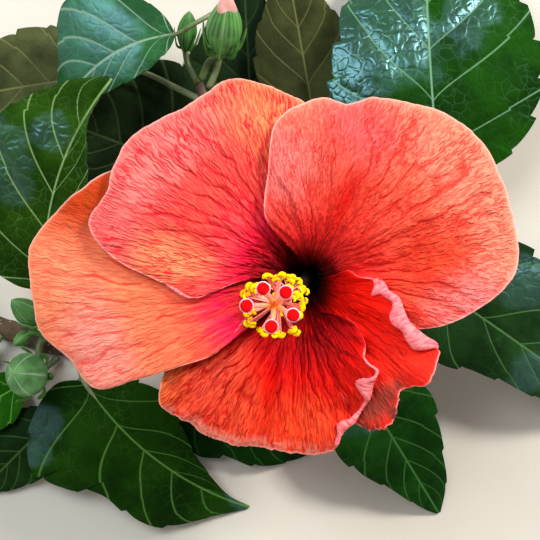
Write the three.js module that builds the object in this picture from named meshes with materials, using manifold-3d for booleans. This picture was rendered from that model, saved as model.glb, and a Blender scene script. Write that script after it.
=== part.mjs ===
// A flowering branch of a tropical hibiscus, cut from the shrub and lying on a level surface.
// Millimetres, +Z up. The bloom faces up, the woody stem lies along the ground towards -X,
// and the leaves spread round the bloom, some of them with their tips on the ground.
// The shapes are worked out about a point on the ground near the bloom, and the whole branch
// is then moved so that the middle of its underside is the origin.
import * as THREE from "three";
import { mergeVertices } from "three/addons/utils/BufferGeometryUtils.js";
import Module from "manifold-3d";

const wasm = await Module();
wasm.setup();

const CLEARANCE = 0.3; // between neighbouring pieces
const PETAL_THICKNESS = 0.9;
const LEAF_THICKNESS = 1.1;
const TUBE_SIDES = 8;

// The bloom's axis runs from its foot to its throat, and leans a little.
const BLOOM_FOOT = new THREE.Vector3(14, -2, 52);
const BLOOM_LEAN = [-0.1375, -0.076]; // sideways travel of the axis for each mm of height
const FUNNEL_RADIUS = 4; // of the petals at the foot
const FUNNEL_DEPTH = 47; // from the foot to the flat of the bloom
const FUNNEL_FLARE = 12;
const FUNNEL_REACH = 16;
const LIFT_AT_FOOT = 1.45; // between two petals that overlap
const LIFT_AT_RIM = 3;
const CLAW_SPREAD = 46; // degrees that a petal's foot takes on each side of its middle
const FIFTH = 72; // degrees from one petal to the next
const PETAL_CELLS = [20, 10]; // across and along

// Each petal: its middle direction in degrees, how far its outer part rises, how deep its rim is
// ruffled, the share of its width that is ruffled strongly, and its rim as [degrees, mm from the
// axis] from the edge that lies under its neighbour to the edge that lies on top.
const PETALS = [
  {
    name: "petal_top_left",
    middle: 108,
    rise: -1,
    ruffle: 0.8,
    rim: [
      [71, 14], [71, 32], [79, 50], [93, 59], [107, 66], [120, 64], [139, 67], [154, 64],
      [163, 66], [171, 56], [178, 41], [186, 33], [178, 22], [164, 15],
    ],
  },
  {
    name: "petal_top_right",
    middle: 36,
    rise: 3,
    ruffle: 0.9,
    rim: [
      [-25, 15], [-24, 27], [-18, 39], [-9, 51], [5, 66], [22, 69], [37, 71], [50, 69],
      [68, 62], [74, 58], [82, 58], [96, 51], [103, 37], [114, 25], [111, 18], [98, 12],
    ],
  },
  {
    name: "petal_right",
    red: true,
    middle: -36,
    rise: 7,
    ruffle: 2,
    strong: 0.42,
    rim: [
      [-83, 15], [-73, 37], [-65, 47], [-59, 50], [-50, 48], [-43, 44], [-35, 49], [-28, 48],
      [-22, 47], [-19, 40], [-14, 35], [-6, 32], [-1, 28], [5, 26], [10, 21], [18, 19], [12, 13],
      [2, 10],
    ],
  },
  {
    name: "petal_bottom",
    red: true,
    middle: -108,
    rise: -13,
    ruffle: 1.6,
    strong: 0.6,
    rim: [
      [-155, 17], [-157, 32], [-152, 45], [-140, 58], [-130, 57], [-118, 56], [-108, 53],
      [-98, 52], [-86, 52], [-77, 51], [-72, 46], [-65, 43], [-56, 40], [-49, 37], [-44, 36],
      [-45, 31], [-38, 28], [-32, 22], [-38, 17], [-55, 13],
    ],
  },
  {
    name: "petal_left",
    middle: -180,
    rise: -6,
    ruffle: 1,
    rim: [
      [-197, 16], [-213, 31], [-220, 46], [-216, 63], [-205, 72], [-195, 79], [-188, 84],
      [-175, 84], [-169, 84], [-162, 78], [-153, 74], [-150, 60], [-146, 45], [-141, 33],
      [-149, 20],
    ],
  },
];

// Where the five stigma pads stand over the top of the column, as [degrees, mm from their middle].
const COLUMN_TOP = new THREE.Vector3(1.2, -9.6, 134);
const PADS = [[117, 5], [44, 5], [-24, 6], [-92, 5.4], [180, 6.6]];
const PADS_MIDDLE = new THREE.Vector3(0.5, -9.3, 148);
const LOBES = 5; // of the calyx
const ANTHER_ROWS = 4;
const ANTHERS_IN_ROW = 6;

// The limbs: [x, y, z, radius] from the thick end to the thin one.
const LIMBS = [
  {
    name: "main_stem",
    bark: true,
    path: [
      [-131, -19, 3.9, 3.9], [-112, -19, 3.9, 3.8], [-78, -29, 3.7, 3.6],
      [-30, -24, 3.5, 3.4], [6, -12, 3.6, 3.1],
    ],
  },
  {
    name: "flower_stalk",
    path: [[6.5, -10.4, 7.5, 2.1], [8, -7, 18, 1.9], [12.5, -3, 32, 1.9], [15.2, -1.2, 40.8, 2.4]],
  },
  { name: "right_twig", path: [[10.2, -12.4, 4.3, 2.7], [26, -11, 8, 2.4], [44, -6, 12, 2]] },
  {
    name: "top_twig",
    bark: true,
    path: [[4.6, -6, 6.2, 2.7], [-2, 14, 10, 2.4], [-16, 42, 15, 2.1], [-26, 68, 21, 1.8]],
  },
  { name: "top_bud_stalk", path: [[-24.6, 70.6, 22.6, 1.4], [-22, 75, 28, 1.2], [-17.6, 75.6, 35.6, 1.3]] },
  { name: "small_bud_stalk", path: [[-27.6, 70.4, 22.4, 1.2], [-30, 75, 21, 1.1], [-30.8, 78.6, 21, 1.1]] },
  {
    name: "left_shoot",
    path: [[-77, -25.3, 7.4, 1.6], [-82, -24.5, 12, 1.5], [-85.5, -27.4, 14, 1.4], [-85, -36, 15.2, 1.5]],
  },
];

// The leaves. base and tip are the ends of the midrib. arch is how high its middle stands over the
// straight line, and sway how far it swings to the left, looking from base to tip. Each margin
// is a curve through [mm along that line, mm to its own side], and it starts at the base and ends
// at the tip. fold is how steeply each side rises from the midrib, and droop bends it down again.
const LEAVES = [
  {
    name: "leaf_bottom_left",
    base: [-69.3, -40.8, 15], tip: [-6.9, -91.1, 0.7], arch: 7, sway: -6,
    left: [[5, 8], [18, 14], [30, 15], [38, 11], [48, 5], [60, 1], [70, -1]],
    right: [[-7, 8], [-6, 25], [1, 37], [10, 41], [20, 37], [33, 30], [48, 30], [58, 26], [68, 14], [74, 7]],
    fold: [0.04, -0.04], droop: 0.12, teeth: 8, petiole: [[-73, -30.8, 7.4]],
  },
  {
    name: "leaf_bottom_middle",
    base: [-33.8, -46, 9], tip: [17.2, -68.8, 0.7], arch: 3, sway: 0,
    left: [[2, 9], [14, 16], [30, 15], [46, 6]],
    right: [[3, 11], [14, 20], [26, 16], [38, 14.5], [46, 10], [52, 5]],
    fold: [0, 0], droop: 0.08, teeth: 6, petiole: [[-32, -28.6, 4.4]],
  },
  {
    name: "leaf_bottom_right",
    base: [29.7, -36.9, 24], tip: [65, -93.6, 0.7], arch: 6, sway: 0,
    left: [[3, 9], [13, 19], [22, 21], [33, 18], [46, 13], [57, 8]],
    right: [[2, 8], [10, 17], [22, 21], [33, 18], [46, 11], [61, 4]],
    fold: [0.1, 0.1], droop: 0.1, teeth: 6, petiole: [[24, -21, 15], [22.4, -14.6, 8.8]],
  },
  {
    name: "leaf_right",
    base: [55.5, -2.9, 28], tip: [137.6, -59.2, 0.7], arch: 10, sway: 0,
    left: [[3, 15], [13, 28], [26, 31], [44, 27], [64, 18], [84, 7]],
    right: [[0, 10], [8, 18], [20, 23], [34, 18], [46, 15], [62, 12], [82, 5]],
    fold: [0.1, 0.08], droop: 0.12, teeth: 8, petiole: [[45.8, -5.3, 13]],
  },
  {
    name: "leaf_top_right",
    base: [60.6, 32.1, 30], tip: [59.2, 143, 0.7], arch: 13, sway: 3,
    left: [[6, 18], [22, 34], [34, 40], [52, 37], [66, 33], [84, 23], [100, 8]],
    right: [[3, 16], [12, 29], [28, 37], [44, 39], [60, 35], [80, 26], [98, 11]],
    fold: [0.06, 0.08], droop: 0.1, teeth: 10, petiole: [[52, 10, 22], [43.4, -3.3, 13.6]],
  },
  {
    name: "leaf_left",
    base: [-80.8, -7.2, 27], tip: [-53.8, 66.9, 46], arch: 5, sway: 7,
    left: [[-2, 10], [2, 24], [12, 32], [26, 36], [42, 36], [56, 32], [66, 22], [74, 11]],
    right: [[5, 5], [16, 8], [28, 8], [42, 4], [52, 0], [60, -3], [70, -2]],
    fold: [0.1, 0.42], droop: 0.1, teeth: 10, petiole: [[-76, -16, 17], [-73, -25.2, 6.7]],
  },
  {
    name: "leaf_top_left",
    base: [-33.2, 83, 37.5], tip: [-76, 56.1, 27], arch: 4, sway: -6,
    left: [[4, 3], [14, 5.5], [26, 5], [36, 3], [44, 1]],
    right: [[0, 8], [5, 20], [14, 29], [26, 33], [34, 26], [41, 15], [46, 8]],
    fold: [0.06, 0.05], droop: 0.1, teeth: 6,
    petiole: [[-24.4, 86.8, 42], [-18.6, 90, 39], [-17.5, 85, 30], [-19, 74, 25], [-22.4, 66.8, 20.8]],
  },
  {
    name: "leaf_far_left", age: "old",
    base: [-66.8, 72, 12], tip: [-126.1, 64, 0.7], arch: 4, sway: 0,
    left: [[2, 8], [12, 16], [28, 18], [42, 11]],
    right: [[2, 12], [11, 21], [26, 22], [42, 15]],
    fold: [0.02, 0.02], droop: 0.1, teeth: 6, petiole: [[-50, 74, 15], [-34, 67, 16], [-25.7, 62.8, 17.2]],
  },
  {
    name: "leaf_top_middle", age: "old",
    base: [17, 52, 12], tip: [6, 118, 0.7], arch: 5, sway: 0,
    left: [[3, 9], [16, 18], [34, 18], [50, 11]],
    right: [[3, 9], [16, 18], [34, 18], [50, 11]],
    fold: [0.2, 0.2], droop: 0.1, teeth: 6, petiole: [[10, 28, 12], [3, 12, 9.6]],
  },
  {
    name: "leaf_behind_top", age: "old",
    base: [-26, 36, 7], tip: [-78, 56, 6], arch: 2, sway: 0,
    left: [[2, 8], [14, 18], [32, 21], [46, 15]],
    right: [[-2, 12], [0, 30], [12, 39], [30, 36], [48, 20]],
    fold: [0, 0], droop: 0.04, teeth: 6, petiole: [[-18.6, 33.4, 8.6], [-13.9, 33.6, 11.2]],
  },
  {
    name: "leaf_behind_bud", age: "old",
    base: [-6, 38, 3.2], tip: [-10, 112, 0.7], arch: 1.5, sway: 0,
    left: [[2, 12], [16, 24], [36, 26], [56, 16]],
    right: [[2, 10], [16, 18], [36, 20], [56, 14]],
    fold: [0, 0], droop: 0.05, teeth: 6, petiole: [[-4, 29, 5.4], [-5.1, 23.3, 8.5]],
  },
  {
    name: "leaf_young_left", age: "young",
    base: [-94, -43, 6], tip: [-122, -60, 2], arch: 3, sway: 0,
    left: [[1, 5], [9, 11], [20, 10], [28, 5]],
    right: [[1, 5], [9, 11], [20, 10], [28, 5]],
    fold: [0.2, 0.2], droop: 0.05, teeth: 5, petiole: [[-86, -38, 5], [-80.4, -33.2, 4.6]],
  },
  {
    name: "leaf_lower_left", age: "old",
    base: [-82, -56, 5], tip: [-112, -86, 0.7], arch: 2, sway: 0,
    left: [[1, 7], [12, 14], [26, 11], [36, 5]],
    right: [[1, 7], [12, 14], [26, 11], [36, 5]],
    fold: [0, 0], droop: 0.05, teeth: 5, petiole: [[-72, -42, 4], [-68, -33.4, 4.2]],
  },
  {
    name: "leaf_small_left", age: "young",
    base: [-104, -29, 9], tip: [-125, -39, 5], arch: 1, sway: 0,
    left: [[1, 3], [8, 6.5], [16, 4]],
    right: [[1, 3], [8, 6.5], [16, 4]],
    fold: [0.1, 0.1], droop: 0.05, teeth: 3, petiole: [[-101, -24.8, 8]],
  },
];
const BLADE_START = 0.015; // of a leaf's length, where its blade begins; it ends as far from the tip
const TOOTH_DEPTH = 0.09;

// The buds, each with the number and length of the bracts under it. A stalk's points run from
// the shoot to the foot of its bud.
const BUDS = [
  { name: "bud_top", foot: [-17.2, 76.4, 38.2], tip: [-14.3, 91.5, 55], radius: 6.2, bracts: 7, bract: 11 },
  { name: "bud_top_small", foot: [-31, 80.4, 22], tip: [-28.8, 92.6, 31], radius: 3.6, bracts: 6, bract: 9 },
  { name: "bud_left", foot: [-85.4, -39.2, 17.5], tip: [-91.6, -36.6, 33], radius: 8, bracts: 7, bract: 10 },
  {
    name: "bud_left_upper",
    foot: [-84.6, -19.2, 18.4], tip: [-93.2, -10.8, 27.6], radius: 4.6, bracts: 6, bract: 7,
    stalk: [[-82.4, -22.9, 14], [-82.8, -21.4, 16]],
  },
  {
    name: "bud_left_small",
    foot: [-89, -23.4, 16.6], tip: [-94, -27.6, 20.6], radius: 2.4, bracts: 5, bract: 5,
    stalk: [[-84.8, -24, 15.4], [-87, -23, 16.4]],
  },
];

// A point on the bloom's axis at a given height.
function axisAt(z) {
  const up = z - BLOOM_FOOT.z;
  return [BLOOM_FOOT.x + BLOOM_LEAN[0] * up, BLOOM_FOOT.y + BLOOM_LEAN[1] * up];
}

// 0 below the first limit, 1 above the second, and smooth between them.
function smooth(from, to, x) {
  return THREE.MathUtils.smoothstep(x, from, to);
}

// How far the rim stands up or down at an angle: the petals' own rises, with smooth passages.
function riseAt(angle) {
  let sum = 0;
  for (const petal of PETALS) {
    const away = THREE.MathUtils.degToRad(angle - petal.middle);
    sum += (petal.rise * (1 + 2 * Math.cos(away) + 2 * Math.cos(2 * away))) / PETALS.length;
  }
  return sum;
}

// The surface that all five petals follow: a funnel that flares into a flat bloom.
// run is the way along the petal from its foot, and lift is a petal's height over that surface.
function bloomPoint(angle, run, lift) {
  const flare = Math.hypot(run, FUNNEL_FLARE);
  const radius = FUNNEL_RADIUS + flare - FUNNEL_FLARE;
  const share = Math.exp(-run / FUNNEL_REACH);
  const height = FUNNEL_DEPTH * (1 - share) + riseAt(angle) * (run / 60) ** 2;
  const outward = run / flare;
  const upward = (FUNNEL_DEPTH / FUNNEL_REACH) * share;
  const slope = Math.hypot(outward, upward);
  const turn = THREE.MathUtils.degToRad(angle);
  const reach = radius - (lift * upward) / slope;
  const z = BLOOM_FOOT.z + height + (lift * outward) / slope;
  const [x, y] = axisAt(z);
  return new THREE.Vector3(x + reach * Math.cos(turn), y + reach * Math.sin(turn), z);
}

function runForRadius(radius) {
  const flared = radius - FUNNEL_RADIUS + FUNNEL_FLARE;
  return Math.sqrt(Math.max(0, flared ** 2 - FUNNEL_FLARE ** 2));
}

// A thin closed blade: a flat box of cells, bent so that its middle surface follows at(u, v).
function bladeGeometry(cols, rows, thickness, at) {
  const box = new THREE.BoxGeometry(1, 1, 1, cols, rows, 1);
  const position = box.getAttribute("position");
  const step = 1e-3;
  for (let i = 0; i < position.count; i++) {
    const u = position.getX(i) + 0.5;
    const v = position.getY(i) + 0.5;
    const across = at(Math.min(1, u + step), v).sub(at(Math.max(0, u - step), v));
    const along = at(u, Math.min(1, v + step)).sub(at(u, Math.max(0, v - step)));
    const normal = across.cross(along).normalize();
    const p = at(u, v).addScaledVector(normal, position.getZ(i) * thickness);
    position.setXYZ(i, p.x, p.y, p.z);
  }
  return box;
}

// A round limb that follows a curve, with its radius from radiusAt(0..1) and flat ends.
function limbGeometry(curve, radiusAt, steps, sides) {
  const tube = new THREE.CylinderGeometry(1, 1, 1, sides, steps);
  const frames = curve.computeFrenetFrames(steps);
  const position = tube.getAttribute("position");
  for (let i = 0; i < position.count; i++) {
    const share = 0.5 - position.getY(i);
    const k = Math.round(share * steps);
    const r = radiusAt(share);
    const p = curve.getPointAt(share);
    p.addScaledVector(frames.normals[k], position.getX(i) * r);
    p.addScaledVector(frames.binormals[k], position.getZ(i) * r);
    position.setXYZ(i, p.x, p.y, p.z);
  }
  return tube;
}

// The closed solid of a geometry, with its faces turned outward.
function solidOf(geometry) {
  const bare = geometry.clone();
  bare.deleteAttribute("normal");
  bare.deleteAttribute("uv");
  const merged = mergeVertices(bare, 1e-4);
  const vertProperties = merged.getAttribute("position").array;
  const triVerts = new Uint32Array(merged.index.array);
  const solid = new wasm.Manifold(new wasm.Mesh({ numProp: 3, vertProperties, triVerts }));
  if (solid.volume() > 0) return solid;
  for (let i = 0; i < triVerts.length; i += 3) {
    [triVerts[i + 1], triVerts[i + 2]] = [triVerts[i + 2], triVerts[i + 1]];
  }
  return new wasm.Manifold(new wasm.Mesh({ numProp: 3, vertProperties, triVerts }));
}

function geometryOf(solid) {
  const mesh = solid.getMesh();
  const geometry = new THREE.BufferGeometry();
  geometry.setAttribute("position", new THREE.BufferAttribute(new Float32Array(mesh.vertProperties), 3));
  geometry.setIndex(new THREE.BufferAttribute(new Uint32Array(mesh.triVerts), 1));
  geometry.computeVertexNormals();
  return geometry;
}

function finish(color, roughness) {
  return new THREE.MeshStandardMaterial({ color, roughness, metalness: 0 });
}

const BARK = finish(0x4a3322, 0.85);
const YOUNG_STEM = finish(0x55702f, 0.6);
const LEAF = finish(0x1d5a1c, 0.35);
const OLD_LEAF = finish(0x2c3d1c, 0.5);
const YOUNG_LEAF = finish(0x3f8f22, 0.45);
const BUD = finish(0x3f8a3a, 0.5);
const CORAL_PETAL = finish(0xf8765c, 0.6);
const RED_PETAL = finish(0xe8321a, 0.6);
const COLUMN = finish(0xf29a80, 0.6);
const STIGMA = finish(0xd0101c, 0.7);

const LEAF_FINISH = { grown: LEAF, old: OLD_LEAF, young: YOUNG_LEAF };

const branch = new THREE.Group();

function add(name, solid, material) {
  const mesh = new THREE.Mesh(geometryOf(solid), material.clone());
  mesh.name = name;
  branch.add(mesh);
}

function union(solids) {
  return solids.reduce((whole, next) => whole.add(next));
}

function curveThrough(points) {
  return new THREE.CatmullRomCurve3(points.map((p) => new THREE.Vector3(p[0], p[1], p[2])));
}

// A limb whose radius follows the list of its path.
function limbSolid(path) {
  const radii = path.map((p) => p[3]);
  const radiusAt = (share) => {
    const place = share * (radii.length - 1);
    const k = Math.min(radii.length - 2, Math.floor(place));
    return THREE.MathUtils.lerp(radii[k], radii[k + 1], place - k);
  };
  return solidOf(limbGeometry(curveThrough(path), radiusAt, 7, TUBE_SIDES));
}

// A limb that narrows evenly.
function thinLimb(points, fromRadius, toRadius, steps, sides) {
  const radiusAt = (share) => THREE.MathUtils.lerp(fromRadius, toRadius, share);
  return solidOf(limbGeometry(curveThrough(points), radiusAt, steps, sides));
}

// A petal widens from its claw at the foot of the funnel to its rim.
function petalSolid(petal) {
  const rimCurve = new THREE.CatmullRomCurve3(
    petal.rim.map(([angle, radius]) => {
      const turn = THREE.MathUtils.degToRad(angle);
      return new THREE.Vector3(radius * Math.cos(turn), radius * Math.sin(turn), 0);
    }),
    false,
    "centripetal",
  );
  const at = (u, v) => {
    const rim = rimCurve.getPointAt(u);
    const plain = THREE.MathUtils.radToDeg(Math.atan2(rim.y, rim.x));
    const rimAngle = plain + 360 * Math.round((petal.middle - plain) / 360);
    const clawAngle = petal.middle + CLAW_SPREAD * (2 * u - 1);
    const angle = THREE.MathUtils.lerp(clawAngle, rimAngle, v);
    const run = v * runForRadius(Math.hypot(rim.x, rim.y));
    const gap = THREE.MathUtils.lerp(LIFT_AT_FOOT, LIFT_AT_RIM, smooth(0, 24, run));
    const over = (gap * (angle - petal.middle)) / FIFTH;
    const strong = petal.strong ? smooth(petal.strong - 0.06, petal.strong + 0.06, u) : 0;
    const wave = 0.5 + 0.5 * Math.sin(u * 34 + petal.middle);
    const ruffle = petal.ruffle * (0.35 + strong) * wave * smooth(0.6, 1, v) * smooth(10, 30, run);
    return bloomPoint(angle, run, over + ruffle);
  };
  return solidOf(bladeGeometry(...PETAL_CELLS, PETAL_THICKNESS, at));
}

// A leaf's blade spreads from its midrib to its two margins, and its petiole runs to a twig.
function leafSolid(leaf) {
  const base = new THREE.Vector3(...leaf.base);
  const tip = new THREE.Vector3(...leaf.tip);
  const forward = new THREE.Vector3(tip.x - base.x, tip.y - base.y, 0);
  const length = forward.length();
  forward.normalize();
  const left = new THREE.Vector3(-forward.y, forward.x, 0);
  const margins = [leaf.left, leaf.right].map((margin, k) =>
    curveThrough([[0, 0], ...margin, [length, 0]].map(([a, c]) => [a, k === 0 ? c : -c, 0])),
  );
  const at = (u, v) => {
    const s = THREE.MathUtils.lerp(BLADE_START, 1 - BLADE_START, v);
    const side = 1 - 2 * u; // 1 on the left margin, -1 on the right one
    const k = side > 0 ? 0 : 1;
    const hump = 4 * s * (1 - s);
    const notch = 1 - TOOTH_DEPTH * ((s * leaf.teeth) % 1) * smooth(0.4, 1, Math.abs(side)) * hump;
    const edge = margins[k].getPointAt(s);
    const along = THREE.MathUtils.lerp(length * s, edge.x, Math.abs(side));
    const across = THREE.MathUtils.lerp(leaf.sway * hump, edge.y, Math.abs(side) * notch);
    const reach = Math.abs(side) * Math.hypot(edge.x - length * s, edge.y - leaf.sway * hump);
    const place = THREE.MathUtils.clamp(along / (length * (1 - BLADE_START)), 0, 1);
    const spine = THREE.MathUtils.lerp(base.z, tip.z, place) + leaf.arch * 4 * place * (1 - place);
    const bend = leaf.fold[k] * reach - leaf.droop * reach * Math.abs(side);
    const p = new THREE.Vector3(base.x, base.y, spine + bend);
    return p.addScaledVector(forward, along).addScaledVector(left, across);
  };
  const blade = solidOf(bladeGeometry(length > 75 ? 6 : 4, leaf.teeth * 2, LEAF_THICKNESS, at));
  const stalk = [...leaf.petiole].reverse();
  const inside = at(0.5, 0.1).toArray();
  return blade.add(thinLimb([...stalk, leaf.base, inside], 1.2, 0.9, 6, 6));
}

// A bud is a spindle with a ring of narrow bracts under it.
function budSolid(bud) {
  const foot = new THREE.Vector3(...bud.foot);
  const tip = new THREE.Vector3(...bud.tip);
  const length = foot.distanceTo(tip);
  const profile = [[0, 0], [0.35, 0.02], [0.72, 0.16], [1, 0.42], [0.86, 0.66], [0.48, 0.87], [0, 1]];
  const outline = profile.map(([r, h]) => new THREE.Vector2(r * bud.radius, h * length));
  const up = new THREE.Vector3(0, 1, 0);
  const turn = new THREE.Quaternion().setFromUnitVectors(up, tip.clone().sub(foot).normalize());
  const spindle = new THREE.LatheGeometry(outline, 10);
  spindle.applyQuaternion(turn).translate(foot.x, foot.y, foot.z);
  const pieces = [solidOf(spindle)];
  for (let i = 0; i < bud.bracts; i++) {
    const around = (i / bud.bracts) * Math.PI * 2;
    const points = [[0.1, 0.6], [0.85, 1.4], [1.3, bud.bract]].map(([r, h]) =>
      new THREE.Vector3(r * bud.radius * Math.cos(around), h, r * bud.radius * Math.sin(around))
        .applyQuaternion(turn)
        .add(foot)
        .toArray(),
    );
    pieces.push(thinLimb(points, 0.8, 0.35, 2, 3));
  }
  if (bud.stalk) pieces.push(thinLimb([...bud.stalk, bud.foot], 1.1, 1.1, 4, 6));
  return union(pieces);
}

// The calyx is a cup with five pointed lobes, and the ring under it carries narrow bracts.
const CALYX_HEIGHT = 13;
const CALYX_LOBE = 11;
const BRACTS = 7;
const RING_BOTTOM = 42.5;

function calyxSolid() {
  const outer = [[0, -7.4], [3, -7], [5.6, -3], [7.2, 2], [7.7, 8], [8.3, CALYX_HEIGHT]];
  const inner = [[7.5, CALYX_HEIGHT], [6.9, 8], [6.3, 2], [5.6, -0.9], [0, -1]];
  const cup = new THREE.LatheGeometry([...outer, ...inner].map(([r, h]) => new THREE.Vector2(r, h)), 20);
  cup.rotateX(Math.PI / 2);
  const position = cup.getAttribute("position");
  for (let i = 0; i < position.count; i++) {
    const x = position.getX(i);
    const y = position.getY(i);
    let z = position.getZ(i);
    let spread = 1;
    if (z > CALYX_HEIGHT - 0.01) {
      const lobe = Math.cos((Math.atan2(y, x) * LOBES) / 2) ** 2;
      z += CALYX_LOBE * (lobe - 0.35);
      spread += (2.6 * lobe) / Math.hypot(x, y);
    }
    const [ax, ay] = axisAt(z + BLOOM_FOOT.z);
    position.setXYZ(i, ax + x * spread, ay + y * spread, z + BLOOM_FOOT.z);
  }
  return solidOf(cup);
}

function bractRingSolid() {
  const [x, y] = axisAt(RING_BOTTOM);
  const ring = new THREE.CylinderGeometry(4.6, 2.6, 1.8, 14);
  ring.rotateX(Math.PI / 2).translate(x, y, RING_BOTTOM + 0.3);
  const pieces = [solidOf(ring)];
  for (let i = 0; i < BRACTS; i++) {
    const around = ((i + 0.4) / BRACTS) * Math.PI * 2;
    const points = [[3, 0.2], [7.5, 0.6], [11, 5], [12.5, 11]].map(([r, h]) => [
      x + r * Math.cos(around),
      y + r * Math.sin(around),
      RING_BOTTOM + h,
    ]);
    pieces.push(thinLimb(points, 0.9, 0.4, 4, 4));
  }
  return union(pieces);
}

// The staminal column carries rows of anthers on thin filaments.
function columnSolid() {
  const foot = axisAt(BLOOM_FOOT.z);
  const points = [[foot[0], foot[1], BLOOM_FOOT.z - 0.6], [8, -5.4, 92], COLUMN_TOP.toArray()];
  const curve = curveThrough(points);
  const pieces = [thinLimb(points, 2.2, 1.5, 10, 8)];
  for (let row = 0; row < ANTHER_ROWS; row++) {
    for (let k = 0; k < ANTHERS_IN_ROW; k++) {
      const share = 0.66 + (0.31 * row) / (ANTHER_ROWS - 1);
      const around = ((k + 0.5 * (row % 2)) / ANTHERS_IN_ROW) * Math.PI * 2 + row * 0.23;
      const out = new THREE.Vector3(Math.cos(around), Math.sin(around), 0);
      const start = curve.getPointAt(share);
      const end = start.clone().addScaledVector(out, 7 + ((row * 7 + k * 5) % 4) * 0.45);
      end.z += 3.4;
      const bend = start.clone().lerp(end, 0.5).addScaledVector(out, 0.6);
      pieces.push(thinLimb([start, bend, end].map((p) => p.toArray()), 0.45, 0.35, 2, 3));
      const anther = new THREE.IcosahedronGeometry(1.25, 0);
      anther.translate(end.x, end.y, end.z);
      pieces.push(solidOf(anther));
    }
  }
  return union(pieces);
}

// The style ends in five branches over the column, each with a round stigma pad.
function stigmaSolid() {
  const middle = COLUMN_TOP.clone();
  middle.z += CLEARANCE + 1.3;
  const hub = new THREE.IcosahedronGeometry(1.3, 0);
  hub.translate(middle.x, middle.y, middle.z);
  const pieces = [solidOf(hub)];
  for (const [turn, reach] of PADS) {
    const around = THREE.MathUtils.degToRad(turn);
    const out = new THREE.Vector3(Math.cos(around), Math.sin(around), 0);
    const pad = PADS_MIDDLE.clone().addScaledVector(out, reach);
    const bend = middle.clone().lerp(pad, 0.55).addScaledVector(out, 0.9);
    pieces.push(thinLimb([middle, bend, pad].map((p) => p.toArray()), 0.65, 0.55, 5, 6));
    const head = new THREE.SphereGeometry(1.7, 8, 5);
    head.rotateX(Math.PI / 2).scale(1, 1, 0.75).translate(pad.x, pad.y, pad.z);
    pieces.push(solidOf(head));
  }
  return union(pieces);
}

for (const limb of LIMBS) {
  add(limb.name, limbSolid(limb.path), limb.bark ? BARK : YOUNG_STEM);
}
for (const leaf of LEAVES) add(leaf.name, leafSolid(leaf), LEAF_FINISH[leaf.age ?? "grown"]);
for (const bud of BUDS) add(bud.name, budSolid(bud), BUD);
add("bract_ring", bractRingSolid(), BUD);
add("calyx", calyxSolid(), BUD);
for (const petal of PETALS) add(petal.name, petalSolid(petal), petal.red ? RED_PETAL : CORAL_PETAL);
add("stamen_column", columnSolid(), COLUMN);
add("stigmas", stigmaSolid(), STIGMA);

const box = new THREE.Box3().setFromObject(branch);
branch.position.set(-(box.min.x + box.max.x) / 2, -(box.min.y + box.max.y) / 2, -box.min.z);

export default branch;
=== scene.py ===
import math

import bpy
import numpy as np
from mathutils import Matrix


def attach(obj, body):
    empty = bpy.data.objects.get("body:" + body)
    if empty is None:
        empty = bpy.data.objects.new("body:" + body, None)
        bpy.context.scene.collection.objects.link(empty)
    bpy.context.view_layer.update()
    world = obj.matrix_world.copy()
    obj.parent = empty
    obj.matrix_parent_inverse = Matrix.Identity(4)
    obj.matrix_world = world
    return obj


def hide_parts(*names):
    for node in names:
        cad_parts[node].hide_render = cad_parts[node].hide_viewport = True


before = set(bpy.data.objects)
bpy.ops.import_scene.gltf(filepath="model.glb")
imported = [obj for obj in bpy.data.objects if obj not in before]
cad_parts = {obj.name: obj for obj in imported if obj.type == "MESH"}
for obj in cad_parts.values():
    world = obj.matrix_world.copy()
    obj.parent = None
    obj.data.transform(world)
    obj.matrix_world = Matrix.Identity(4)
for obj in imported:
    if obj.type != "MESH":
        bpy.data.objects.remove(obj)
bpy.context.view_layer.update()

# A cut branch of a tropical hibiscus, lying on a level surface with its bloom facing up.
# Everything is worked out in millimetres about a point on the ground near the bloom. It is then
# moved by SHIFT, which makes the middle of the underside the origin, and written in metres.
MM = 0.001
SHIFT = np.array([-2.96, -22.61, 0.0])

# The bloom is a funnel about a leaning line, which opens into a wide disc.
BLOOM_FOOT = np.array([14.0, -2.0, 52.0])
BLOOM_LEAN = np.array([-0.1375, -0.076])  # mm aside for each mm up
FUNNEL_RADIUS = 4.0
FUNNEL_DEPTH = 47.0
FUNNEL_FLARE = 12.0
FUNNEL_REACH = 16.0
RISE_REACH = 60.0
LIFT_AT_FOOT = 1.45
LIFT_AT_RIM = 3.0
CLAW_SPREAD = 46.0  # degrees to each side of a petal's middle, at its foot
FIFTH = 360 / 5
PETAL_THICKNESS = 0.4

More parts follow.
